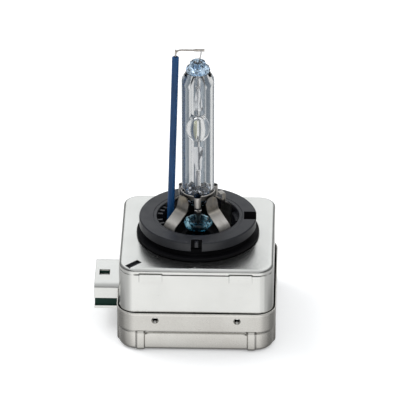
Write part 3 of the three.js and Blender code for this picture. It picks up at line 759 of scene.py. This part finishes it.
def slot_shade_block():
    """A block of black plastic just under the corner slot: painted shade, standing in for the dark inside of
    the housing.
    """
    plug = slanted_slot(0.15, SHELL_TOP - 2.4, SHELL_TOP - 0.65)
    soften(piece("corner_slot_shade_block", plug, "black"), 0.15)


CAN_CORNER = 5.6
CAN_HALF = 21.65
CAN_INSET = 0.5  # how far the can steps in
RIBS = (-15.1, 15.1)
RIB_HALF = 1.25
PANEL_CORNER = 1.6
GROOVE = 0.42  # how deep the groove under the step is, and half its width
DIMPLES = [(x, face) for face in (-1, 1) for x in (-11.1, 11.2)]


def can_push(across, z, side):
    """Outward relief of the can's lower band: ribs flush with the upper band, a panel between them
    whose top corners are rounded, and a groove under the step that the panel rises out of."""
    off = min(abs(across - centre) for centre in RIBS)
    rib = 1 - step(RIB_HALF - 0.4, RIB_HALF, off)
    below = CAN_STEP - z
    corner = max(0.0, PANEL_CORNER + RIB_HALF - off) if off > RIB_HALF else 0
    bend = 1 - math.sqrt(max(0.0, 1 - (corner / PANEL_CORNER) ** 2))
    top = 0.75 * bend if abs(across) < RIBS[1] else 0
    groove = -GROOVE * math.exp(-((below - GROOVE - top) / GROOVE) ** 4)
    filled = 1 - step(top - 0.15, top, below) if top else 0
    panel = groove + 0.10 * math.exp(-max(below - 0.9 - top, 0) / 1.4)
    return CAN_INSET * rib + (1 - rib) * ((1 - filled) * panel + filled * CAN_INSET)


def lower_can():
    """The deep-drawn can, closed below, with a rolled lip at its rim."""
    lower, small = CAN_HALF - CAN_INSET, CAN_CORNER - CAN_INSET
    fillet, lip, rim = 1.5, 0.10, 0.17
    steps = (220, 18)

    def ring(inset, z, push=None):
        return square_ring(CAN_HALF + inset, CAN_CORNER + inset, z, steps, push)

    def middle(share, corner, z):
        return square_ring((lower - fillet) * share, corner, z, steps)

    rings = [middle(share, (small - fillet) * share, 0) for share in (0.08, 0.4, 0.75)]
    rings += [ring(x - CAN_INSET, z, can_push) for x, z in arc(-fillet, fillet, fillet, -90, 0, 8)]
    band = spaced(fillet + 0.2, CAN_STEP - 1.7, 8) + spaced(CAN_STEP - 1.7, CAN_STEP - 0.02, 22)
    rings += [ring(-CAN_INSET, z, can_push) for z in band]
    outline = arc(-0.15, CAN_STEP + 0.15, 0.15, -90, 0, 3)
    outline += line((0, CAN_STEP + 0.3), (0, CAN_RIM - 0.6), 8)
    outline += [(0, CAN_RIM - 0.5), (lip, CAN_RIM - 0.35)] + arc(lip - rim, CAN_RIM - rim, rim, 0, 180, 6)
    inner = -CAN_INSET - SHEET
    outline += [(lip - 2 * rim, CAN_RIM - 1.2), (-SHEET, CAN_RIM - 1.6), (-SHEET, CAN_STEP + SHEET),
                (inner, CAN_STEP + 0.2), (inner, 1.4), (inner - 0.9, SHEET)]
    rings += [ring(*point) for point in outline]
    rings.append(middle(0.08, 0.2, SHEET))
    obj = piece("lower_can_shell", skin(rings), "can", "lower_can")
    for x, face in DIMPLES:
        cut(obj, ball(x, face * (CAN_HALF + 0.28), CAN_RIM - 2.2, 1.02))
    cut(obj, doorway(CAN_HALF, TRAY_LOW[2] - 0.15, 20))


def ball(x, y, z, radius):
    """A ball, for punching dimples and for the pips inside them."""
    profile = [(max(r, 0.001), h) for r, h in arc(0, 0, radius, -90, 90, 14)]
    verts, faces = skin(turned(profile, 28))
    return moved(verts, x, y, z), faces


def dimple_pips():
    """What the punch pressed through: a raised pip in each dimple, of a metal brighter than the can's as a
    painted highlight.
    """
    verts, faces = [], []
    for x, face in DIMPLES:
        more_verts, more_faces = ball(x, face * (CAN_HALF - 0.42), CAN_RIM - 2.72, 0.37)
        faces += [tuple(i + len(verts) for i in polygon) for polygon in more_faces]
        verts += more_verts
    piece("dimple_pips", (verts, faces), "pip")


# ---- Base ----
FRONT_KEY = {"half": 1.5, "depth": 2.2}  # the ring's front key slot
RIGHT_KEY = {"half": 2.15, "depth": 3.5}


def locating_ring():
    """The keyed ring that seats the lamp, with its small ribs and ledges."""
    low = RING_LOW[2]
    chamfer = 0.3
    profile = [(OPENING_R, low), (RING_R - 0.2, low), (RING_R, low + 0.2), (RING_R, REF_Z - chamfer),
               (RING_R - chamfer * 0.8, REF_Z), (OPENING_R + 1.1, REF_Z), (OPENING_R + 0.95, REF_Z - 0.12),
               (OPENING_R + 0.15, REF_Z - 0.12), (OPENING_R, REF_Z - 0.3)]
    obj = piece("keyed_ring", lathed(profile, 180), "black", "locating_ring")
    front, right = FRONT_KEY, RIGHT_KEY
    cut(obj, block(-front["half"], front["half"], -RING_R - 1, -RING_R + front["depth"], low - 1, REF_Z + 1))
    cut(obj, block(RING_R - right["depth"], RING_R + 1, -right["half"], right["half"], low - 1, REF_Z + 1))
    soften(obj, 0.12)
    # The walls of the key slots wear the darker, matter black of the moulding under the ring: painted shade
    # deep in the slots.
    obj.data.materials.append(MATERIALS["base"])
    for face in obj.data.polygons:
        x, y, _ = face.center / MM
        if (in_key(front, x, RING_R + y) or in_key(right, y, RING_R - x)) and face.normal.z < 0.5:
            face.material_index = 1
    key_parts(low)


def in_key(key, across, deep):
    """Whether a place on the ring is on a wall of a key slot."""
    return abs(across) < key["half"] + 0.02 and 0.25 < deep < key["depth"] + 0.1


def key_parts(low):
    """The ring's small parts: ribs that guide the return insulator, a rib that stands back in the
    front key slot, and a ledge in two lengths on the opening's right wall."""
    half, reach = 0.35, 1.5
    for index, degrees in enumerate((-29, -19, -9, 10, 21, 32)):  # from the left wall's middle
        verts, faces = block(-OPENING_R - 0.3, -OPENING_R + reach, -half, half, low - 1.5, REF_Z - 0.6)
        verts = [spun(x, y, z, math.radians(degrees)) for x, y, z in verts]
        soften(piece(f"ring_rib_{index + 1}", (verts, faces), "black"), 0.1)
    rib_half, front, back = 0.5, 0.75, 2.35
    rib = block(-rib_half, rib_half, -RING_R + front, -RING_R + back, low + 0.9, REF_Z - 0.35)
    soften(piece("key_slot_rib", rib, "black"), 0.1)
    wall, nose = OPENING_R + 0.2, OPENING_R - 1.0
    section = [(wall, low - 2.6), (wall, low + 0.9), (nose + 0.2, low + 0.9), (nose, low + 0.7),
               (nose, low - 2.6)]
    for index, (degrees, span) in enumerate(((14, 13), (-18, 9))):
        end = degrees + span
        turns = [math.radians(turn) for turn in spaced(degrees - span, end, 8) + [end]]
        rings = [[spun(r, 0, z, turn) for r, z in section] for turn in turns]
        soften(piece(f"opening_ledge_{index + 1}", skin(rings), "black"), 0.08)


def base_body():
    """The moulding under the ring: a flange and neck, and a well with a boss for the burner's stem."""
    bottom, under, floor = BODY_LOW[2], RING_LOW[2] - 0.05, 22.2
    flange_top, flange_low = 26.3, SHELL_TOP + 0.1
    socket, shaft, neck, boss = 5.2, 12.7, 14.4, 4.5
    boss_top, cup, hole, cup_floor = 24.7, 3.3, 1.55, 23
    profile = [(hole, bottom), (socket, bottom), (socket, bottom + 5.4), (shaft, bottom + 5.4),
               (shaft, flange_low), (FLANGE_R - 0.15, flange_low), (FLANGE_R, flange_low + 0.15),
               (FLANGE_R, flange_top - 0.2), (FLANGE_R - 0.2, flange_top), (neck + 0.3, flange_top),
               (neck, flange_top + 0.3), (neck, under), (OPENING_R, under), (OPENING_R, floor + 0.5),
               (OPENING_R - 0.5, floor), (boss + 0.4, floor), (boss, floor + 0.4), (boss, boss_top - 0.2),
               (boss - 0.2, boss_top), (cup + 0.2, boss_top), (cup, boss_top - 0.2), (cup, cup_floor),
               (hole, cup_floor)]
    piece("plastic_base", lathed(profile, 160), "base", "base_body", 25)


def stem_bead():
    """The fused blue glass bead: a lumpy collar with a dished top."""
    low, high, wide = BEAD_LOW[2], BEAD_HIGH[2], BEAD_HIGH[0]
    round_r = 1.15
    mid = high - 1.1
    profile = [(0.6, low), (1.9, low), (1.9, low + 1.6), (2.4, low + 2.1)]
    profile += arc(wide - round_r, mid, round_r, -75, 100, 12)
    profile += [(2.3, mid + 0.15), (1.7, mid - 0.5), (1.2, mid - 0.6), (0.6, mid - 0.3)]

    def lobes(angle, z):
        return 1 + 0.025 * math.sin(5 * angle + 1) * step(low + 1.5, low + 2.5, z)

    piece("blue_stem_bead", lathed(profile, lobes=lobes), "bead", "stem_bead", 60)


# ---- Clamp ----
BAND_R = 4.66
BAND_SHEET = 0.2
BEADS = (-90, 27, 153)  # the directions of the band's beads, in degrees
BEAD_DROP = 1.6  # how much taller the beads are than the band between them


def band_radius(angle):
    """The band's middle line: a circle with three outward half-round beads."""
    half = 0.2  # half a bead's width, in radians
    for centre in BEADS:
        off = abs(math.remainder(angle - math.radians(centre), TAU))
        if off < half:
            return BAND_R + (1.4 if centre < 0 else 1.15) * math.sqrt(1 - (off / half) ** 2)
        if off < half * 1.6:
            return BAND_R - 0.02
    return BAND_R


def clamp_band():
    """The beaded band that grips the envelope. It is taller at its beads."""
    low, high, half = BAND_LOW[2], BAND_HIGH[2], BAND_SHEET / 2

    def loop(offset, z):
        ring = []
        for angle in spaced(0, TAU, 420):
            radius = band_radius(angle)
            plain = 1 - step(0.0, 0.35, radius - BAND_R)
            lift = BEAD_DROP * plain * (high - z) / (high - low)
            ring.append(spun(radius + offset, 0, z + lift, angle))
        return ring

    rings = [loop(half, z) for z in spaced(low, high - 0.08, 8)]
    rings += [loop(half, high - 0.08), loop(0, high), loop(-half, high - 0.08)]
    rings += [loop(-half, z) for z in spaced(high - 0.4, low, 6) + [low]]
    obj = piece("sprung_clamp_band", skin(rings, loop=True), "band", "clamp_band")
    # Painted shade darkens the band, but not its upper edge or its beads.
    obj.data.materials.append(MATERIALS["shaded_band"])
    for face in obj.data.polygons:
        x, y, z = face.center / MM
        if math.hypot(x, y) < BAND_R + 0.35 and z < high - 0.22:
            face.material_index = 1


def weld_tab():
    """A bent tab on the right rear bead, by which the band is gripped while it is welded."""
    half_width, bend, root, tip = 0.95, 0.4, 6.35, 8.0
    middle = (tip - bend, 5.0)
    outline = [(root, 5.4)] + arc(*middle, bend, 90, 0, 5) + [(tip, 2.4), (tip - BAND_SHEET, 2.4)]
    outline += arc(*middle, bend - BAND_SHEET, 0, 90, 5) + [(root, 5.4 - BAND_SHEET)]
    turn = math.radians(BEADS[1])
    rings = [[spun(r, y, z + REF_Z, turn) for r, z in outline] for y in (half_width, -half_width)]
    piece("bent_weld_tab", skin(rings), "band", "weld_tab")


LEG_WIDTH = 4.1
LEG_SHEET = 0.3


def leg_line(tab_top):
    """The leg's middle line as (radius, 0, height above the reference plane)."""
    root, foot = 5.1, 10.75
    points = [(root, 0, tab_top), (root + 0.1, 0, tab_top - 1), (root + 0.7, 0, 4), (6.9, 0, 2.9),
              (8.5, 0, 1.6), (10, 0, 0.5), (foot - 0.1, 0, -0.5), (foot, 0, -1.8), (foot, 0, -6.5)]
    return smooth_path(points, 8)


def clamp_leg(place, degrees, tab_top):
    """One sprung leg: a strip that leaves the band, sweeps outwards and dives into the base."""
    path = leg_line(tab_top)
    across_steps = 10
    rings = []
    for i, (r, _, z) in enumerate(path):
        run, _, climb = direction(path, i)
        below = tab_top - z
        half = LEG_WIDTH / 2
        if below < half:
            half = math.sqrt(max(half ** 2 - (half - below) ** 2, 0.01))
        ring = []
        for side in (1, -1):
            lift = side * LEG_SHEET / 2
            for k in range(across_steps + 1):
                y = side * half * (1 - 2 * k / across_steps)
                ring.append(spun(r + climb * lift, y, REF_Z + z - run * lift, math.radians(degrees)))
        rings.append(ring)
    obj = piece(f"sprung_leg_{place}", skin(rings), "spring", f"clamp_leg_{place}", 50)
    soften(obj, 0.06, angle=60)


def clamp_legs():
    """The front legs have taller tabs than the rear ones."""
    clamp_leg("rear_right", 45, 5.2)
    clamp_leg("rear_left", 135, 5.2)
    clamp_leg("front_left", 224, 7.6)
    clamp_leg("front_right", 315, 7.6)


# ---- Burner ----
def at_ref(points):
    """Profile points measured from the reference plane."""
    return [(r, z + REF_Z) for r, z in points]


def outer_envelope():
    """The polished tube, whose foot closes in round the stem and whose tip narrows to the crown."""
    inside = TUBE_R - 0.85
    profile = at_ref([(1.05, 3.7), (1.5, 3.75), (2.9, 4.2), (3.9, 5.0), (4.4, 5.9), (TUBE_R, 7.0)]
                     + line((TUBE_R, 8), (TUBE_R, 41.2), 12)
                     + [(TUBE_R, 41.2), (4.42, 41.9), (4.2, 42.5), (3.75, 43.2), (3.4, 43.8), (3.25, 44.15),
                        (2.6, 44.15), (2.8, 43.3), (3.2, 42.3), (inside, 41)]
                     + line((inside, 40), (inside, 7.9), 8)
                     + [(inside, 7.9), (3.6, 6.6), (2.6, 5.6), (1.4, 5.1), (1.05, 4.9)])
    piece("quartz_envelope", lathed(profile, 128), "quartz", "outer_envelope", 60)


def crown():
    """The pressed tip: two tiers of fused quartz, dented by the jaws that closed it."""
    profile = at_ref([(1.25, 44.2), (3.05, 44.2), (3.2, 44.4), (3.25, 44.85), (3.15, 45.3), (2.85, 45.55),
                      (2.35, 45.7), (2.17, 45.9), (2.13, 46.6), (2.0, 47.0), (1.7, 47.2), (1.25, 47.2)])

    def lobes(angle, z):
        h = z - REF_Z
        tier = step(45.3, 45.8, h)
        first = 0.045 * abs(math.cos(5 * angle)) + 0.02 * math.sin(13 * angle + 2 * h) - 0.03
        second = 0.07 * abs(math.cos(4 * angle + 0.7)) + 0.02 * math.sin(11 * angle) - 0.04
        return 1 + first * (1 - tier) + second * tier

    piece("fused_crown", lathed(divided(profile, 4), 160, lobes), "crown_quartz", sharp=50)


def fused_foot():
    """The lumpy collar of quartz that fuses the stem to the foot of the envelope."""
    low = 5.9
    profile = at_ref([(2.15, low), (2.6, low), (3.3, 6.9), (3.5, 7.7), (3.45, 8.5), (3.1, 9.1), (2.5, 9.4),
                      (2.15, 9.2)])

    def lobes(angle, z):
        height = step(REF_Z + low, REF_Z + 8.5, z)
        return 1 + height * (0.05 * math.sin(5 * angle + 0.6) + 0.03 * math.sin(9 * angle + z) - 0.02)

    piece("fused_foot", lathed(divided(profile, 4), 140, lobes), "foot_quartz", sharp=50)


def lead_sleeve():
    """The tapered sleeve that guides the lower lead out of the stem."""
    profile = at_ref([(0.32, -2.6), (0.5, -2.5), (0.62, -1.5), (0.92, 0.2), (0.98, 0.9), (0.9, 1.25),
                      (0.55, 1.3), (0.32, 1.2)])
    piece("lower_lead_sleeve", lathed(profile, 40), "wire")


def half_ellipse(r, half, start, steps):
    """Points of an ellipse about the arc's middle, from below to above, where it is wider than start."""
    angle = math.acos(start / r)
    return [(r * math.cos(a), LIGHT_CENTRE + half * math.sin(a))
            for a in spaced(-angle, angle, steps) + [angle]]


def arc_tube():
    """The discharge vessel between its two solid stems, and the space that holds the arc."""
    stem, lead_r, seal_r = 2.0, 0.5, 0.2
    profile = at_ref([(lead_r, 1.5), (0.95, 1.6), (0.95, 3.1), (1.5, 4.9), (stem, 7)])
    profile += line((stem, REF_Z + 7.6), (stem, LIGHT_CENTRE - 3.7), 6)
    profile += half_ellipse(3.2, 4.3, stem + 0.02, 28)
    profile += line((stem, LIGHT_CENTRE + 3.7), (stem, REF_Z + 40.6), 6)
    profile += at_ref([(stem, 40.6), (1.6, 41.8), (1.2, 43), (1.2, 46.9), (lead_r, 47.1), (lead_r, 40.5)])
    above = [(lead_r, 12.7), (seal_r, 12.4), (seal_r, 4)]  # the bore, measured from the arc's middle
    profile += [(r, LIGHT_CENTRE + h) for r, h in above]
    profile += half_ellipse(1.38, 3.6, seal_r, 24)[::-1]
    profile += [(r, LIGHT_CENTRE - h) for r, h in reversed(above)]
    piece("quartz_arc_tube", lathed(profile), "arc_quartz", "arc_tube", 60)


def seal_foils():
    """Each foil is thinned to a knife edge at its sides and tapers away from the arc."""
    section = [(1, 0), (0.4, 1), (-0.4, 1), (-1, 0), (-0.4, -1), (0.4, -1)]
    for end, taper in (("upper", 0.78), ("lower", 0.4)):
        node = f"{end}_seal_foil"
        low, high = box_mm(node)
        near, far = (low[2], high[2]) if end == "upper" else (high[2], low[2])
        rings = []
        for i in range(25):
            share = i / 24
            half = 0.98 * (1 - taper * share) * min(1, 0.55 + 6 * share)
            thick = 0.05 + 0.012 * math.sin(40 * share)
            sway = 0.04 * math.sin(17 * share)
            z = near + (far - near) * share
            rings.append([(half * x, thick * y + sway * x, z) for x, y in section])
        piece(f"{end}_tapered_foil", skin(rings), "sealed_foil", node)


WIRE_LEVEL = WIRE_TOP - REF_Z - 0.4  # the return wire's level stretch, above the reference plane


def return_x(z):
    """Where the leaning return line stands at a height above the reference plane."""
    return -7.46 + 0.0295 * z


def return_insulator():
    """The leaning blue pipe that the return wire runs through."""
    low, top = PIPE_LOW[2] - REF_Z, PIPE_HIGH[2] - REF_Z
    outer, bore = 0.95, 0.42
    profile = [(bore, low), (outer, low)] + line((outer, low + 2), (outer, top - 0.5), 12)
    profile += [(outer, top - 0.25), (outer - 0.05, top - 0.1), (outer - 0.2, top), (bore + 0.08, top),
                (bore, top - 0.1)]
    rings = [[(x + return_x(z), y, z + REF_Z) for x, y, z in ring] for ring in turned(profile, 48)]
    piece("blue_return_insulator", skin(rings, loop=True), "ceramic", "return_insulator", 50)


def return_wire():
    """Up through the insulator, over the crown, and flattened where the crown's lead is welded on."""
    path = [(return_x(z), z) for z in (-12.6, 20, 48.2)] + [(return_x(49), 49.1)]
    path += [(-5.7, WIRE_LEVEL - 0.55), (-5.15, WIRE_LEVEL - 0.12)]
    path += [(x, WIRE_LEVEL) for x in (-4.4, -2.5, -1.3, 0.2, 1.8)]

    def flat(t):
        pressed = step(0.78, 0.86, t)
        return 1 - 0.35 * pressed, 1 + 0.55 * pressed

    rings = swept(smooth_path([(x, 0, z + REF_Z) for x, z in path], 8), 0.25, 20, flat)
    piece("bent_return_wire", skin(rings), "wire", "return_wire", 60)


def crown_lead():
    """The short lead that rises out of the crown to the return wire."""
    path = [(0, 0, LIGHT_CENTRE - REF_Z + 12.6), (0, 0, 45.4), (0.2, -0.12, 46.6), (0.75, -0.36, 49.2),
            (0.95, -0.38, WIRE_LEVEL + 0.3)]
    rings = swept(smooth_path([(x, y, z + REF_Z) for x, y, z in path], 8), 0.2)
    piece("crown_lead", skin(rings), "foil", "upper_lead", 60)


# ---- Connector ----
LATCH = {"x0": -27.0, "x1": -24.2, "middle": -1.9}  # the latch window in the connector's top


def bar(y0, y1, z0, z1, corner, xs, low_corner=0.0):
    """A bar along X whose top corners, and perhaps its lower ones, are rounded."""
    if low_corner:
        section = arc(y0 + low_corner, z0 + low_corner, low_corner, 180, 270, 3)
        section += arc(y1 - low_corner, z0 + low_corner, low_corner, -90, 0, 3)
    else:
        section = [(y0, z0), (y1, z0)]
    section += arc(y1 - corner, z1 - corner, corner, 0, 90, 8)
    section += arc(y0 + corner, z1 - corner, corner, 90, 180, 8)
    return skin([[(x, y, z) for y, z in section] for x in xs])


def latch_window(half, low, high):
    """A cutter for the latch window."""
    return block(LATCH["x0"], LATCH["x1"], LATCH["middle"] - half, LATCH["middle"] + half, low, high)


def connector_screens():
    """The folded covers over and under the connector."""
    sheet = 0.4
    (x0, y0, skirt), (x1, y1, top) = SCREEN_LOW, SCREEN_HIGH
    cover = piece("connector_cover", bar(y0, y1, skirt, top, 1.5, [x1, x0 + 6, x0 + 3, x0]), "housing",
                  "connector_screen_upper")
    cut(cover, bar(y0 + sheet, y1 - sheet, skirt - 2, top - sheet, 1.1, [x1 + 1, x0 - 1]))
    cut(cover, latch_window(1.5, top - 1, top + 1))
    soften(cover, 0.1)
    low, high = TRAY_LOW[2], TRAY_HIGH[2]
    tray = piece("connector_under_cover", block(x0, x1, y0, y1, low, high), "housing",
                 "connector_screen_lower")
    cut(tray, block(x0 - 1, x1 + 1, y0 + sheet, y1 - sheet, low + sheet, high + 1))
    soften(tray, 0.1)


def connector_body():
    """The green socket, open to the left, with a hole for each pin in its back wall."""
    back = -20.8  # where the opening ends
    (x0, y0, z0), (x1, y1, z1) = SOCKET_LOW, SOCKET_HIGH
    body = piece("connector_body", bar(y0, y1, z0, z1, 1.0, [x1, x0]), "green", "connector_socket")
    cut(body, bar(y0 + 1, y1 - 1, z0 + 1.1, z1 - 1.2, 0.5, [back, x0 - 1], 0.5))
    cut(body, latch_window(1.3, z1 - 2, z1 + 1))
    gap = 0.05
    for pin in (1, 2, 3):
        low, high = box_mm(f"connector_pin_{pin}")
        cut(body, block(back - 1, x1 + 1, low[1] - gap, high[1] + gap, low[2] - gap, high[2] + gap))
    soften(body, 0.1)


# ---- Stage ----
HORIZON = [(0.05, 0.30), (0.20, 1.0)]  # how the studio dims towards its horizon, by a ray's rise
PAPER = (0.93, 0.93, 0.93)


def stage_sheet(name, corners, color):
    """A matt sheet that isn't part of the lamp, with its finish for more work."""
    f = Finish(name, color, roughness=1.0)
    f.set("Specular IOR Level", 0.0)
    obj = add_object(name, (corners, [(0, 1, 2, 3)]))
    obj.data.materials.append(f.material)
    return obj, f


def floor():
    """A pale floor. The camera and the lamp's own lighting see it plain. Mirrors and glass see it dim
    towards the sides, as in a studio whose walls are dark, which gives both their dark edges."""
    size, level = 6000, -0.05
    corners = [(-size, -size, level), (size, -size, level), (size, size, level), (-size, size, level)]
    _, f = stage_sheet("floor", corners, PAPER)
    incoming = f.node("ShaderNodeNewGeometry").outputs["Incoming"]
    to_camera = f.in_view(incoming)
    sideways = f.math("ABSOLUTE", to_camera["X"])
    path, through, mirrored = f.rays()
    # Mirrors see it dim towards the sides, the horizon and, near the lamp, away from the camera.
    aside = f.ramp(sideways, [(0.38, 0.93), (0.72, 0.50)])
    onward = f.rise(f.times(to_camera["Z"], -1.0), 0.0, 0.22)
    near = f.span(f.from_axis(), 46 * MM, 62 * MM, 0.52, 0.04)
    in_mirror = f.times(f.times(aside, f.ramp(f.xyz(incoming)["Z"], HORIZON)),
                        f.minus(1.0, f.times(onward, near)))
    # Glass sees dark bands to the left and right, which draw its edges.
    bright, dark, dim = (0.68, 0.68, 0.67), (0.10, 0.125, 0.15), (0.24, 0.28, 0.32)
    left = f.ramp(sideways, [(0.105, bright), (0.15, dark), (0.34, dim), (0.60, dark)])
    right = f.ramp(sideways, [(0.08, bright), (0.12, dark), (0.30, dark), (0.42, bright)])
    in_glass = f.mix(f.math("GREATER_THAN", to_camera["X"], 0.0), right, left)
    plain = f.mix(mirrored, PAPER, f.times(in_mirror, 0.5))
    f.set("Base Color", f.mix(through, plain, in_glass))
    f.set("Emission Color", (1, 1, 1, 1))
    unshaded = f.times(mirrored, f.times(in_mirror, 0.53))
    f.set("Emission Strength", f.plus(f.times(path["Is Camera Ray"], 0.28), unshaded))


def dark_card():
    """A black card high behind the lamp, seen only in reflections, that shades the ring's front."""
    away, half, low, high = 85, 13, 76, 200
    corners = [(-half, away, low), (half, away, low), (half, away, high), (-half, away, high)]
    card, _ = stage_sheet("dark_card", corners, (0.01, 0.01, 0.01))
    card.visible_camera = False
    card.visible_diffuse = False
    card.visible_transmission = False
    card.visible_shadow = False


def world():
    """A soft room, brighter behind the lamp. Reflections see it dim towards the horizon, and mirrors
    also see dim side walls."""
    made = bpy.data.worlds.new("studio")
    bpy.context.scene.world = made
    made.use_nodes = True
    w = Nodes(made.node_tree)
    outward = w.node("ShaderNodeTexCoord").outputs["Generated"]
    toward = w.xyz(outward)
    room = w.ramp(w.span(toward["Y"], -1, 1), [(0.15, (0.50, 0.51, 0.52)), (0.75, (0.96, 0.98, 1.0))])
    horizon = w.ramp(w.math("ABSOLUTE", toward["Z"]), HORIZON)
    dimmed = w.vector("MULTIPLY", room, horizon)["Vector"]
    aside = w.math("ABSOLUTE", w.in_view(outward)["X"])
    walls = w.span(w.minus(toward["Z"], aside), -0.10, 0.22, 0.22, 1.0)
    path, _, mirrored = w.rays()
    reflected = w.mix(mirrored, dimmed, w.vector("MULTIPLY", dimmed, walls)["Vector"])
    w.feed(w.tree.nodes["Background"].inputs[0], w.mix(path["Is Camera Ray"], reflected, (1, 1, 1)))


def aimed(name, data, place, sight):
    """Puts a light or a camera in its place, in millimetres, looking along sight."""
    obj = bpy.data.objects.new(name, data)
    bpy.context.scene.collection.objects.link(obj)
    obj.location = [c * MM for c in place]
    obj.rotation_euler = Vector(sight).to_track_quat("-Z", "Y").to_euler()
    return obj


def light(name, place, size, power):
    """A square soft light, aimed at the base of the burner, that no reflection shows."""
    data = bpy.data.lights.new(name, "AREA")
    data.shape = "RECTANGLE"
    data.size = data.size_y = size * MM
    data.energy = power
    aim = Vector((0, 0, 30))
    obj = aimed(name, data, place, aim - Vector(place))
    obj.visible_glossy = False


def camera():
    """A long lens about 29 degrees above level and 1.5 degrees to the right."""
    elevation, azimuth, distance = math.radians(28.85), math.radians(1.56), 1354
    view_width = 109.26  # what the picture spans at the lamp
    shift, rise = 0.554, 4.583  # from the reference plane's middle to the picture's
    data = bpy.data.cameras.new("camera")
    data.sensor_width = 36
    data.lens = data.sensor_width * distance / view_width
    data.clip_end = 20
    right = (math.cos(azimuth), math.sin(azimuth))
    back = Vector((right[1] * math.cos(elevation), -right[0] * math.cos(elevation), math.sin(elevation)))
    aim = Vector((right[0] * shift, right[1] * shift, REF_Z + rise))
    bpy.context.scene.camera = aimed("camera", data, aim + back * distance, -back)


dress_nodes()
upper_shell()
slot_shade_block()
lower_can()
dimple_pips()
locating_ring()
base_body()
stem_bead()
clamp_band()
weld_tab()
clamp_legs()
outer_envelope()
crown()
fused_foot()
lead_sleeve()
arc_tube()
seal_foils()
return_insulator()
return_wire()
crown_lead()
connector_screens()
connector_body()
floor()
dark_card()
world()
camera()
light("key", (-700, 300, 900), 700, 5)
light("fill", (600, -500, 900), 600, 2)
bpy.context.scene.view_settings.view_transform = "Standard"
